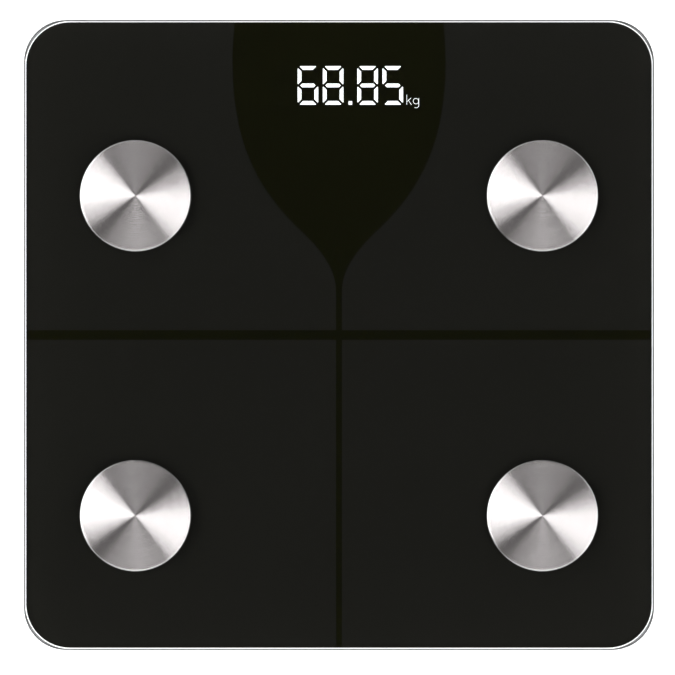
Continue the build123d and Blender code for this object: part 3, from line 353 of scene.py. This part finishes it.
# Fibreglass board under green solder mask: copper tracks show through as lighter lines
boardLook = {
    "mask": ("#0d4a2a", "#0b4025"), "track": "#1c6b3f", "blockMm": 5.0, "trackShare": 0.04,
    "roughness": 0.35, "ior": 1.55,
}


def solderMask():
    look = boardLook
    material, tree, coordinates = newMaterial("solder mask on fibreglass")
    settings = {
        "Scale": perMetre(look["blockMm"]), "Mortar Size": look["trackShare"],
        "Color1": linear(look["mask"][0]), "Color2": linear(look["mask"][1]), "Mortar": linear(look["track"]),
    }
    tracks = addNode(tree, "TexBrick", settings, {"Vector": coordinates}).outputs["Color"]
    settings = {"Roughness": look["roughness"], "IOR": look["ior"]}
    shader = addNode(tree, "BsdfPrincipled", settings, {"Base Color": tracks})
    addNode(tree, "OutputMaterial", {}, {"Surface": shader.outputs[0]})
    return material


# PVC insulation: smooth and slightly glossy
wireLook = {"ior": 1.53, "mottle": 0.05, "mottleMm": 3.0, "roughness": (0.35, 0.45)}


def insulation(name, colour):
    look = wireLook
    material, tree, coordinates = newMaterial(name)
    shade, drift = mottled(tree, coordinates, colour, look["mottle"], look["mottleMm"])
    settings = {"To Min": look["roughness"][0], "To Max": look["roughness"][1]}
    rough = addNode(tree, "MapRange", settings, {"Value": drift}).outputs["Result"]
    shader = addNode(
        tree, "BsdfPrincipled", {"IOR": look["ior"]}, {"Base Color": shade, "Roughness": rough}
    )
    addNode(tree, "OutputMaterial", {}, {"Surface": shader.outputs[0]})
    return material


# Battery cells: a printed shrink sleeve with a band and a line at each end, and bare nickelled
# steel on the end faces
sleeveLook = {
    "sleeve": "#2b2f36", "band": "#8d9297", "steel": "#b9b4a8", "bandMm": 7.0, "lineMm": 0.8, "ior": 1.53,
    "roughness": 0.3, "roughnessSwing": 0.05, "mottle": 0.06, "mottleMm": 3.0, "facesEnd": 0.7,
}


def shrinkSleeve():
    look = sleeveLook
    low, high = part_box("batteries")
    material, tree, coordinates = newMaterial("printed shrink sleeve on steel")
    along = addNode(tree, "SeparateXYZ", {}, {0: coordinates}).outputs["Y"]
    middle = (low.y + high.y) / 2
    fromMiddle = addNode(tree, "Math", {"operation": "SUBTRACT", 1: middle}, {0: along}).outputs[0]
    reach = addNode(tree, "Math", {"operation": "ABSOLUTE"}, {0: fromMiddle}).outputs[0]
    line = look["lineMm"] * mm
    bandFrom = (high.y - low.y) / 2 - look["bandMm"] * mm
    band = addNode(tree, "Math", {"operation": "GREATER_THAN", 1: bandFrom}, {0: reach}).outputs[0]
    settings = {"operation": "COMPARE", 1: bandFrom - 2 * line, 2: line / 2}
    beside = addNode(tree, "Math", settings, {0: reach}).outputs[0]
    printed = addNode(tree, "Math", {"operation": "MAXIMUM"}, {0: band, 1: beside}).outputs[0]
    sleeve, drift = mottled(tree, coordinates, look["sleeve"], look["mottle"], look["mottleMm"])
    settings = {"data_type": "RGBA", mixSecond: linear(look["band"])}
    shade = addNode(tree, "Mix", settings, {mixFactor: printed, mixFirst: sleeve}).outputs[mixResult]
    settings = {
        "To Min": look["roughness"] - look["roughnessSwing"],
        "To Max": look["roughness"] + look["roughnessSwing"],
    }
    rough = addNode(tree, "MapRange", settings, {"Value": drift}).outputs["Result"]
    film = addNode(tree, "BsdfPrincipled", {"IOR": look["ior"]}, {"Base Color": shade, "Roughness": rough})
    steel = {"Base Color": linear(look["steel"]), "Metallic": 1.0}
    bare = addNode(tree, "BsdfPrincipled", steel, {"Roughness": rough})
    normal = addNode(tree, "NewGeometry").outputs["Normal"]
    facing = addNode(tree, "SeparateXYZ", {}, {0: normal}).outputs["Y"]
    steep = addNode(tree, "Math", {"operation": "ABSOLUTE"}, {0: facing}).outputs[0]
    end = addNode(tree, "Math", {"operation": "GREATER_THAN", 1: look["facesEnd"]}, {0: steep}).outputs[0]
    both = addNode(tree, "MixShader", {}, {0: end, 1: film.outputs[0], 2: bare.outputs[0]})
    addNode(tree, "OutputMaterial", {}, {"Surface": both.outputs[0]})
    return material


glass = toughenedGlass()
blackAbs = mouldedPlastic("black ABS, spark-eroded", "#1b1b1c", 0.55)
footAbs = mouldedPlastic("black ABS, fine grain", "#202021", 0.5, grainMm=0.25)
greyAbs = mouldedPlastic("grey ABS", "#6d6e70", 0.45, grainMm=0.25)
naturalAbs = mouldedPlastic("natural ABS", "#dedbd0", 0.5)
blackPolycarbonate = mouldedPlastic("black polycarbonate", "#101011", 0.4, grainMm=0.2)
naturalNylon = mouldedPlastic("natural nylon", "#e4e0d2", 0.45, grainMm=0.2)
chipEpoxy = mouldedPlastic("moulded epoxy", "#19191a", 0.6, grainMm=0.15)
sinteredCeramic = mouldedPlastic("sintered ceramic", "#a98f66", 0.5, grainMm=0.15)
footRubber = softSolid("moulded rubber", "#262626", 0.5)
foam = softSolid("polyethylene foam tape", "#121212", 0.3, 0.95)
silicone = softSolid("silicone sealant", "#ececea", 0.8, 0.5)
acrylicGlue = softSolid("acrylic adhesive", "#c9c8c2", 0.6, 0.4)
blackZinc = smoothMetal("black zinc-plated steel", "#4c4c4e", 0.38, 1.5)
nickelPlate = smoothMetal("nickel-plated steel", "#b9b4a8", 0.28)
cellSteel = smoothMetal("nickel-plated alloy steel", "#a9a69d", 0.36, 3.0)
polishedSteel = smoothMetal("polished stainless steel", "#d4d2d0", 0.12, 8.0)
plateFilm = smoothMetal("satin metallised polyester film", "#a3a5a8", 0.42, 2.0)
board = solderMask()
batterySleeve = shrinkSleeve()
redLead = insulation("red PVC insulation", "#9c1f1a")
blackLead = insulation("black PVC insulation", "#161616")
whiteLead = insulation("white PVC insulation", "#e2e1dc")
quadrantInk = screenInk("charcoal screen ink", "#262521")
panelInk = screenInk("black screen ink", "#171706")
darkPolycarbonate = screenInk("carbon-filled polycarbonate", "#0b0b07")  # as matt as the ink over it
lit = litAcrylic()
print("materials made:", len(bpy.data.materials))

# The finish of each slot in the record, for the CAD nodes that show as they are. An unlit light
# guide looks like the ink round it
slotFinish = {
    "toughened_glass": glass, "quadrant_ink": quadrantInk, "panel_ink": panelInk,
    "light_guide_lit": lit, "light_guide_dark": panelInk, "display_housing": darkPolycarbonate,
    "electrode_steel": polishedSteel, "adhesive": acrylicGlue, "foam": foam, "nylon": naturalNylon,
    "plated_steel": nickelPlate, "casing": blackAbs, "screw_steel": blackZinc, "foot_plastic": footAbs,
    "foot_rubber": footRubber, "cell_steel": cellSteel, "silicone": silicone,
    "retainer_plastic": naturalAbs, "circuit_board": board, "chip_epoxy": chipEpoxy,
    "ceramic": sinteredCeramic, "connector_nylon": naturalNylon, "switch_plastic": blackPolycarbonate,
    "battery_jacket": batterySleeve, "lead_red": redLead, "lead_black": blackLead,
    "lead_white": whiteLead, "button_plastic": greyAbs,
}
for part in frame["record"]["subparts"]:
    meshData = nodes[part["node"]].data
    meshData.materials.clear()
    meshData.materials.append(slotFinish[part["material_slot"]])
print("CAD nodes finished:", len(nodes))


def fromCad(node):
    # a copy of a CAD node's mesh, with its loose triangles joined
    bm = bmesh.new()
    bm.from_mesh(nodes[node].data)
    bmesh.ops.remove_doubles(bm, verts=bm.verts, dist=weld)
    return bm


def bevelled(bm, edges, widthMm, segments):
    bmesh.ops.bevel(
        bm, geom=edges, offset=widthMm * mm, offset_type="OFFSET", segments=segments, profile=0.5,
        affect="EDGES", clamp_overlap=True, material=-1, loop_slide=True,
    )


def addSpun(bm, profile, centre, steps):
    # a shape turned about the upright line through centre; profile is (radius, height) pairs
    points = [bm.verts.new((centre[0] + radius, centre[1], height)) for radius, height in profile]
    edges = [bm.edges.new(pair) for pair in zip(points, points[1:])]
    bmesh.ops.spin(
        bm, geom=points + edges, cent=(*centre, 0), axis=(0, 0, 1), dvec=(0, 0, 0), angle=math.tau,
        steps=steps, use_merge=True, use_normal_flip=False, use_duplicate=False,
    )
    bmesh.ops.remove_doubles(bm, verts=bm.verts, dist=weld)


def toPiece(bm, name, body, replaced, materials, sharpDegrees=30):
    # the bmesh becomes an object at the origin that rides on a CAD body and stands for CAD nodes
    for face in bm.faces:
        face.smooth = True
    for edge in bm.edges:
        edge.smooth = edge.calc_face_angle(math.pi) < math.radians(sharpDegrees)
    mesh = bpy.data.meshes.new(name)
    bm.to_mesh(mesh)
    bm.free()
    for material in materials:
        mesh.materials.append(material)
    piece = bpy.data.objects.new(name, mesh)
    bpy.context.scene.collection.objects.link(piece)
    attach(piece, body)
    if replaced:
        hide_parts(*replaced)
    return piece


# Ink and light guides lie a hair inside the glass, so that no air shows between them. The mask
# laps over the edge of each lit light guide
inkLook = {"sunkMm": 0.02, "barLapMm": 0.25, "legendLapMm": 0.26, "flatDegrees": 1}


def inkLayer(name, node, material, lapMm=0):
    look = inkLook
    bm = fromCad(node)
    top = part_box(node)[1].z
    upper = [vertex for vertex in bm.verts if vertex.co.z > top - hair]
    bmesh.ops.translate(bm, verts=upper, vec=(0, 0, look["sunkMm"] * mm))
    if lapMm:
        flat = math.radians(look["flatDegrees"])
        bmesh.ops.dissolve_limit(bm, angle_limit=flat, verts=bm.verts, edges=bm.edges)
        tops = [face for face in bm.faces if face.normal.z > level]
        bmesh.ops.inset_region(bm, faces=tops, thickness=lapMm * mm, use_even_offset=True)
        for face in bm.faces:
            face.material_index = 0 if face in tops else 1
    toPiece(bm, name, "scale_body", [node], [material, panelInk])


inkLayer("quadrantPrint", "quadrant_print", quadrantInk)
inkLayer("panelPrint", "panel_print", panelInk)
inkLayer("displayMask", "display_mask", panelInk)
inkLayer("unlitBars", "unlit_segments", panelInk)
inkLayer("litBars", "lit_segments", lit, inkLook["barLapMm"])
inkLayer("unitLegend", "unit_legend", lit, inkLook["legendLapMm"])
print("print and display made")


# Mouldings keep their CAD shape, with every sharp edge broken
mouldingLook = {
    "capMm": 0.3, "padMm": 0.35, "doorMm": 0.2, "latchMm": 0.2, "buttonMm": 0.3, "coverMm": 0.2,
    "plungerMm": 0.15, "segments": 2, "flatDegrees": 0.5, "sharpDegrees": 50, "smoothDegrees": 35,
}


def softened(name, node, body, material, edgeMm):
    look = mouldingLook
    bm = fromCad(node)
    flat = math.radians(look["flatDegrees"])
    bmesh.ops.dissolve_limit(bm, angle_limit=flat, verts=bm.verts, edges=bm.edges)
    sharp = [edge for edge in bm.edges if edge.calc_face_angle(0) > math.radians(look["sharpDegrees"])]
    bevelled(bm, sharp, edgeMm, look["segments"])
    piece = toPiece(bm, name, body, [node], [material], look["smoothDegrees"])
    # large flats keep their own normals, so only the broken edges look round
    weighted = piece.modifiers.new("flats lead", "WEIGHTED_NORMAL")
    weighted.keep_sharp = True
    return piece


# The plunger is shorter by a hair, so that the button's flange stops before the plunger does
plungerLook = {"endMm": 0.5, "shorterMm": 0.03}


def shortPlunger():
    plunger = softened(
        "switchPlunger", "switch_plunger", "unit_button", blackPolycarbonate,
        mouldingLook["plungerMm"],
    )
    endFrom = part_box("switch_plunger")[1].z - plungerLook["endMm"] * mm
    for vertex in plunger.data.vertices:
        if vertex.co.z > endFrom:
            vertex.co.z -= plungerLook["shorterMm"] * mm


for corner, label in corners.items():
    foot = "foot_" + corner
    softened("footCap" + label, "foot_cap_" + corner, foot, footAbs, mouldingLook["capMm"])
    softened("footPad" + label, "foot_pad_" + corner, foot, footRubber, mouldingLook["padMm"])
softened("batteryDoor", "battery_door", "battery_door", blackAbs, mouldingLook["doorMm"])
softened("doorLatch", "door_latch", "battery_door", blackAbs, mouldingLook["latchMm"])
softened("unitButton", "unit_button", "unit_button", greyAbs, mouldingLook["buttonMm"])
softened("bottomCover", "bottom_cover", "scale_body", blackAbs, mouldingLook["coverMm"])
shortPlunger()
print("mouldings made")


# Load cells: each foot's boss bends a tongue of the steel plate upwards, and the gauge glued under
# its root bends with it. The root and the boss's edge are measured inwards from the foot's middle,
# and the tongue's length from the root. The tongue is cut across at every step, so that it can bend
cellLook = {"tongueWidthMm": 13.0, "tongueMm": 21.0, "rootMm": 11.0, "bossMm": 6.0, "stepMm": 1.0}


def bent(piece):
    # taken off its body, with its place in the world baked into its mesh
    piece.parent = None
    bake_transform(piece)


def bentCell(corner, label):
    look = cellLook
    node = "load_cell_" + corner
    low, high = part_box("foot_pad_" + corner)
    middle = (low + high) / 2
    outwards = math.copysign(1, middle.y)
    root = middle.y - look["rootMm"] * mm * outwards
    half = look["tongueWidthMm"] * mm / 2 + hair

    def onTongue(face):
        place = face.calc_center_median()
        return abs(place.x - middle.x) < half and 0 < (place.y - root) * outwards < look["tongueMm"] * mm

    for kind in ("Plate", "Tongue"):
        bm = fromCad(node)
        steps = 0 if kind == "Plate" else int(look["tongueMm"] / look["stepMm"])
        for step in range(steps + 1):
            cutAt = root + step * look["stepMm"] * mm * outwards
            bmesh.ops.bisect_plane(
                bm, geom=bm.verts[:] + bm.edges[:] + bm.faces[:], dist=weld, plane_co=(0, cutAt, 0),
                plane_no=(0, 1, 0),
            )
        unwanted = [face for face in bm.faces if onTongue(face) == (kind == "Plate")]
        bmesh.ops.delete(bm, geom=unwanted, context="FACES")
        openEdges = [edge for edge in bm.edges if edge.is_boundary]
        bmesh.ops.holes_fill(bm, edges=openEdges, sides=0)
        bmesh.ops.recalc_face_normals(bm, faces=bm.faces)
        piece = toPiece(bm, "cell" + kind + label, "scale_body", [node], [cellSteel])
        if kind == "Tongue":
            bent(piece)

    bm = fromCad("strain_gauges")
    others = [v for v in bm.verts if v.co.x * middle.x < 0 or v.co.y * middle.y < 0]
    bmesh.ops.delete(bm, geom=others, context="VERTS")
    gauge = toPiece(bm, "strainGauge" + label, "scale_body", ["strain_gauges"], [silicone])
    bent(gauge)


for corner, label in corners.items():
    bentCell(corner, label)
print("load cells made")


# Grip ridges across the door's tongue, where a thumb pulls it open
gripLook = {
    "ridges": 5, "pitchMm": 2.0, "sizeMm": (20.0, 0.9, 0.45), "insetMm": 6.0, "sunkMm": 0.1, "roundMm": 0.3,
    "segments": 4, "smoothDegrees": 35,
}


def doorGrip():
    look = gripLook
    low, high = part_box("battery_door")
    size = Vector(look["sizeMm"]) * mm
    height = low.z + look["sunkMm"] * mm - size.z / 2
    bm = bmesh.new()
    for index in range(look["ridges"]):
        ridge = bmesh.ops.create_cube(bm, size=1)["verts"]
        bmesh.ops.scale(bm, verts=ridge, vec=size)
        across = high.y - (look["insetMm"] + index * look["pitchMm"]) * mm
        bmesh.ops.translate(bm, verts=ridge, vec=(0, across, height))
    shown = [edge for edge in bm.edges if max(vertex.co.z for vertex in edge.verts) < low.z]
    bevelled(bm, shown, look["roundMm"], look["segments"])
    toPiece(bm, "doorGrip", "battery_door", [], [blackAbs], look["smoothDegrees"])


doorGrip()


# A plate of satin polyester film in the cover's recess, bare but for its printed border
plateLook = {
    "placeMm": (0.0, -92.0, 4.2), "sizeMm": (59.2, 33.2, 0.22), "cornerMm": 2.0, "cornerSegments": 8,
    "borderMm": 1.5, "lineMm": 0.4, "roundMm": 0.06, "roundSegments": 2,
}


def coverPlate():
    look = plateLook
    bm = bmesh.new()
    bmesh.ops.create_cube(bm, size=1)
    bmesh.ops.scale(bm, verts=bm.verts, vec=Vector(look["sizeMm"]) * mm)
    bmesh.ops.translate(bm, verts=bm.verts, vec=Vector(look["placeMm"]) * mm)
    upright = [edge for edge in bm.edges if edge.verts[0].co.xy == edge.verts[1].co.xy]
    bevelled(bm, upright, look["cornerMm"], look["cornerSegments"])
    bm.normal_update()
    underside = [face for face in bm.faces if face.normal.z < -level]
    bevelled(bm, underside[0].edges[:], look["roundMm"], look["roundSegments"])
    bm.normal_update()
    underside = [face for face in bm.faces if face.normal.z < -level]
    border, line = look["borderMm"] * mm, look["lineMm"] * mm
    bmesh.ops.inset_region(bm, faces=underside, thickness=border, use_even_offset=True)
    printed = bmesh.ops.inset_region(bm, faces=underside, thickness=line, use_even_offset=True)["faces"]
    for face in printed:
        face.material_index = 1
    toPiece(bm, "coverPlate", "scale_body", [], [plateFilm, quadrantInk])


coverPlate()
print("grip and plate made")


# Cover screws: a pan head with a tapered cross recess, on a plain shank. Widths are half widths
screwLook = {
    "headMm": 2.8, "faceMm": 1.9, "domeMm": 0.7, "domeDegrees": (0, 22, 45, 68, 90), "headHeightMm": 2.0,
    "shankMm": 1.45, "armMm": 1.5, "slotMm": 0.42, "recessMm": 1.0, "taper": 0.45, "steps": 40,
}


def screwPlaces():
    # each loose part of the CAD node is one screw
    bm = fromCad("cover_screws")
    places = []
    left = set(bm.verts)
    while left:
        screw = [left.pop()]
        for vertex in screw:
            for edge in vertex.link_edges:
                other = edge.other_vert(vertex)
                if other in left:
                    left.remove(other)
                    screw.append(other)
        xs = [vertex.co.x for vertex in screw]
        ys = [vertex.co.y for vertex in screw]
        places.append(((min(xs) + max(xs)) / 2, (min(ys) + max(ys)) / 2))
    bm.free()
    return sorted(places)


def addCross(bm, centre, height):
    # the outline of a cross: a quarter of it, repeated round the middle
    arm, slot = screwLook["armMm"] * mm, screwLook["slotMm"] * mm
    quarter = [(arm, -slot), (arm, slot), (slot, slot), (slot, arm)]
    points = [bm.verts.new((centre[0] + x, centre[1] + y, height)) for x, y in quarter]
    edges = [bm.edges.new(pair) for pair in zip(points, points[1:])]
    bmesh.ops.spin(
        bm, geom=points + edges, cent=(*centre, 0), axis=(0, 0, 1), dvec=(0, 0, 0),
        angle=math.tau * 3 / 4, steps=3, use_merge=False, use_normal_flip=False, use_duplicate=True,
    )
    bmesh.ops.remove_doubles(bm, verts=bm.verts, dist=weld)
    return [edge for edge in bm.edges if edge.is_wire]


def coverScrews():
    look = screwLook
    low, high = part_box("cover_screws")
    face = low.z
    seat = face + look["headHeightMm"] * mm
    head, shank = look["headMm"] * mm, look["shankMm"] * mm
    across, deep = head - look["faceMm"] * mm, look["domeMm"] * mm
    profile = [
        (head - across * (1 - math.sin(angle)), face + deep * (1 - math.cos(angle)))
        for angle in map(math.radians, look["domeDegrees"])
    ]
    profile += [(head, seat), (shank, seat), (shank, high.z), (0, high.z)]
    bm = bmesh.new()
    for centre in screwPlaces():
        addSpun(bm, profile, centre, look["steps"])
        rim = [edge for edge in bm.edges if edge.is_boundary]
        cross = addCross(bm, centre, face)
        bmesh.ops.triangle_fill(bm, use_beauty=True, edges=rim + cross)
        walls = bmesh.ops.extrude_edge_only(bm, edges=cross)["geom"]
        ends = [item for item in walls if isinstance(item, bmesh.types.BMVert)]
        middle = Matrix.Translation((-centre[0], -centre[1], 0))
        bmesh.ops.scale(bm, verts=ends, vec=(look["taper"], look["taper"], 1), space=middle)
        bmesh.ops.translate(bm, verts=ends, vec=(0, 0, look["recessMm"] * mm))
        bottom = [edge for edge in bm.edges if edge.is_boundary]
        bmesh.ops.contextual_create(bm, geom=bottom)
    bmesh.ops.recalc_face_normals(bm, faces=bm.faces)
    toPiece(bm, "coverScrews", "scale_body", ["cover_screws"], [blackZinc])


coverScrews()
print("screws made")


# Electrodes: a turned face, a polished bevel with softened edges, and a stud underneath
discLook = {
    "bevelMm": 0.6, "edgeMm": 0.08, "edgeDrop": 0.7, "studMm": 2.0, "studEndMm": 0.35, "thicknessMm": 0.9,
    "steps": 192, "smoothDegrees": 20,
}


def electrodeDisc(corner, label):
    look = discLook
    node = "electrode_" + corner
    low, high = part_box(node)
    centre = ((low.x + high.x) / 2, (low.y + high.y) / 2)
    radius = (high.x - low.x) / 2
    face, under = high.z, high.z - look["thicknessMm"] * mm
    bevel, edge = look["bevelMm"] * mm, look["edgeMm"] * mm
    drop = edge * look["edgeDrop"]
    stud, studEnd = look["studMm"] * mm, look["studEndMm"] * mm
    profile = [
        (0, face),
        (radius - bevel - edge, face),
        (radius - bevel + drop, face - drop),
        (radius - drop, face - bevel + drop),
        (radius, face - bevel - edge),
        (radius, under),
        (stud, under),
        (stud, low.z + studEnd),
        (stud - studEnd, low.z),
        (0, low.z),
    ]
    bm = bmesh.new()
    addSpun(bm, profile, centre, look["steps"])
    bmesh.ops.recalc_face_normals(bm, faces=bm.faces)
    for side in bm.faces:
        side.material_index = 0 if side.normal.z > level else 1
    steel = turnedSteel("turned stainless steel, " + corner.replace("_", " "), centre)
    materials = [steel, polishedSteel]
    toPiece(
        bm, "electrode" + label, "scale_body", [node], materials, look["smoothDegrees"]
    )


for corner, label in corners.items():
    electrodeDisc(corner, label)
print("electrodes made")


# A pale floor. From below it is clear, so that the underside can be looked at
floorLook = {
    "radius": 6.0, "segments": 96, "colour": "#e9e9e9", "glow": 0.84, "mottle": 0.01, "mottleMm": 300.0,
}


def studioFloor():
    look = floorLook
    bm = bmesh.new()
    bmesh.ops.create_circle(bm, cap_ends=True, segments=look["segments"], radius=look["radius"])
    bmesh.ops.translate(bm, verts=bm.verts, vec=(0, 0, -hair))
    mesh = bpy.data.meshes.new("studioFloor")
    bm.to_mesh(mesh)
    bm.free()
    material, tree, coordinates = newMaterial("pale floor")
    shade = mottled(tree, coordinates, look["colour"], look["mottle"], look["mottleMm"])[0]
    settings = {
        "Roughness": 1.0, "Specular IOR Level": 0.0, "Emission Color": grey(1),
        "Emission Strength": look["glow"],
    }
    matt = addNode(tree, "BsdfPrincipled", settings, {"Base Color": shade})
    clear = addNode(tree, "BsdfTransparent")
    under = addNode(tree, "NewGeometry").outputs["Backfacing"]
    both = addNode(tree, "MixShader", {}, {0: under, 1: matt.outputs[0], 2: clear.outputs[0]})
    addNode(tree, "OutputMaterial", {}, {"Surface": both.outputs[0]})
    mesh.materials.append(material)
    floor = bpy.data.objects.new("studioFloor", mesh)
    bpy.context.scene.collection.objects.link(floor)


# The light: a tall soft box on the left, a weaker one on the right and a window behind the user.
# The discs' rims mirror the skirting. The dark recess over the skirting keeps the glass black from
# low angles, and the dark ceiling does so from above. The stops are (azimuth, light), with azimuths
# in degrees anticlockwise from +X. Elevations are in degrees. Bright light is a little cooler, and
# coolest from coolFrom on
studioLook = {
    "wall": [
        (0, 2.75), (10, 1.45), (20, 0.18), (32, 0.42), (55, 0.4), (90, 0.14), (129, 0.12), (132, 1.9),
        (150, 4.3), (165, 5.3), (186, 5.3), (205, 3.5), (217, 0.26), (226, 0.22), (240, 1.2), (272, 2.25),
        (300, 1.5), (305, 0.9), (308, 2.5), (325, 3.35), (360, 2.75),
    ],
    "skirting": [
        (0, 0.3), (45, 0.06), (90, 0.12), (135, 0.6), (165, 2.0), (190, 2.0), (203, 0.3), (225, 0.06),
        (245, 0.5), (270, 0.9), (290, 0.6), (315, 0.18), (360, 0.3),
    ],
    "skirtingTo": (6, 11),
    "recess": 0.2,
    "wallFrom": (26, 36),
    "ceilingFrom": (66, 74),
    "ceiling": 0.04,
    "backdrop": 1.0,
    "coolness": 0.03,
    "coolFrom": 2,
}


def studioWorld():
    look = studioLook
    world = bpy.data.worlds.new("studio")
    bpy.context.scene.world = world
    world.use_nodes = True
    tree = world.node_tree
    tree.nodes.clear()
    direction = addNode(tree, "TexCoord").outputs["Generated"]
    split = addNode(tree, "SeparateXYZ", {}, {0: direction}).outputs
    azimuth = addNode(tree, "Math", {"operation": "ARCTAN2"}, {0: split["Y"], 1: split["X"]}).outputs[0]
    turns = addNode(tree, "Math", {"operation": "DIVIDE", 1: math.tau}, {0: azimuth}).outputs[0]
    turn = addNode(tree, "Math", {"operation": "FRACT"}, {0: turns}).outputs[0]

    def byAzimuth(stops):
        ramp = addNode(tree, "ValToRGB", {}, {"Fac": turn})
        elements = ramp.color_ramp.elements
        while len(elements) < len(stops):
            elements.new(0.5)
        # every place is set before any colour, because the ramp sorts its stops by place
        for element, (degrees, light) in zip(elements, stops):
            element.position = degrees / 360
        for element, (degrees, light) in zip(elements, stops):
            warmth = 1 - look["coolness"] * min(1, light / look["coolFrom"])
            element.color = (light * warmth, light * (1 + warmth) / 2, light, 1)
        return ramp.outputs["Color"]

    def above(elevations):
        # 0 under the lower elevation, 1 over the higher
        low, high = [math.sin(math.radians(elevation)) for elevation in elevations]
        settings = {"From Min": low, "From Max": high, "interpolation_type": "SMOOTHSTEP"}
        return addNode(tree, "MapRange", settings, {"Value": split["Z"]}).outputs["Result"]

    links = {mixFactor: above(look["skirtingTo"]), mixFirst: byAzimuth(look["skirting"])}
    low = addNode(tree, "Mix", {"data_type": "RGBA", mixSecond: grey(look["recess"])}, links)
    links = {
        mixFactor: above(look["wallFrom"]), mixFirst: low.outputs[mixResult],
        mixSecond: byAzimuth(look["wall"]),
    }
    room = addNode(tree, "Mix", {"data_type": "RGBA"}, links)
    links = {mixFactor: above(look["ceilingFrom"]), mixFirst: room.outputs[mixResult]}
    light = addNode(tree, "Mix", {"data_type": "RGBA", mixSecond: grey(look["ceiling"])}, links)
    # only the camera sees the backdrop
    toCamera = addNode(tree, "LightPath").outputs["Is Camera Ray"]
    links = {mixFactor: toCamera, mixFirst: light.outputs[mixResult]}
    shown = addNode(tree, "Mix", {"data_type": "RGBA", mixSecond: grey(look["backdrop"])}, links)
    background = addNode(tree, "Background", {"Strength": 1.0}, {"Color": shown.outputs[mixResult]})
    addNode(tree, "OutputWorld", {}, {"Surface": background.outputs[0]})


# The camera looks straight down from 9 m over the glass through a very long lens, so it sees no
# sides. A lens and a sensor are in millimetres
cameraLook = {"aimMm": (-0.71, -1.19), "height": 8.928, "lens": 1000, "sensor": 36, "seesTo": 50}


def studioCamera():
    look = cameraLook
    data = bpy.data.cameras.new("studioCamera")
    data.lens = look["lens"]
    data.sensor_width = look["sensor"]
    data.clip_end = look["seesTo"]
    camera = bpy.data.objects.new("studioCamera", data)
    bpy.context.scene.collection.objects.link(camera)
    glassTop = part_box("glass_platform")[1].z
    camera.location = (look["aimMm"][0] * mm, look["aimMm"][1] * mm, glassTop + look["height"])
    bpy.context.scene.camera = camera


studioFloor()
studioWorld()
studioCamera()
bpy.context.scene.view_settings.view_transform = "Standard"
print("studio made")
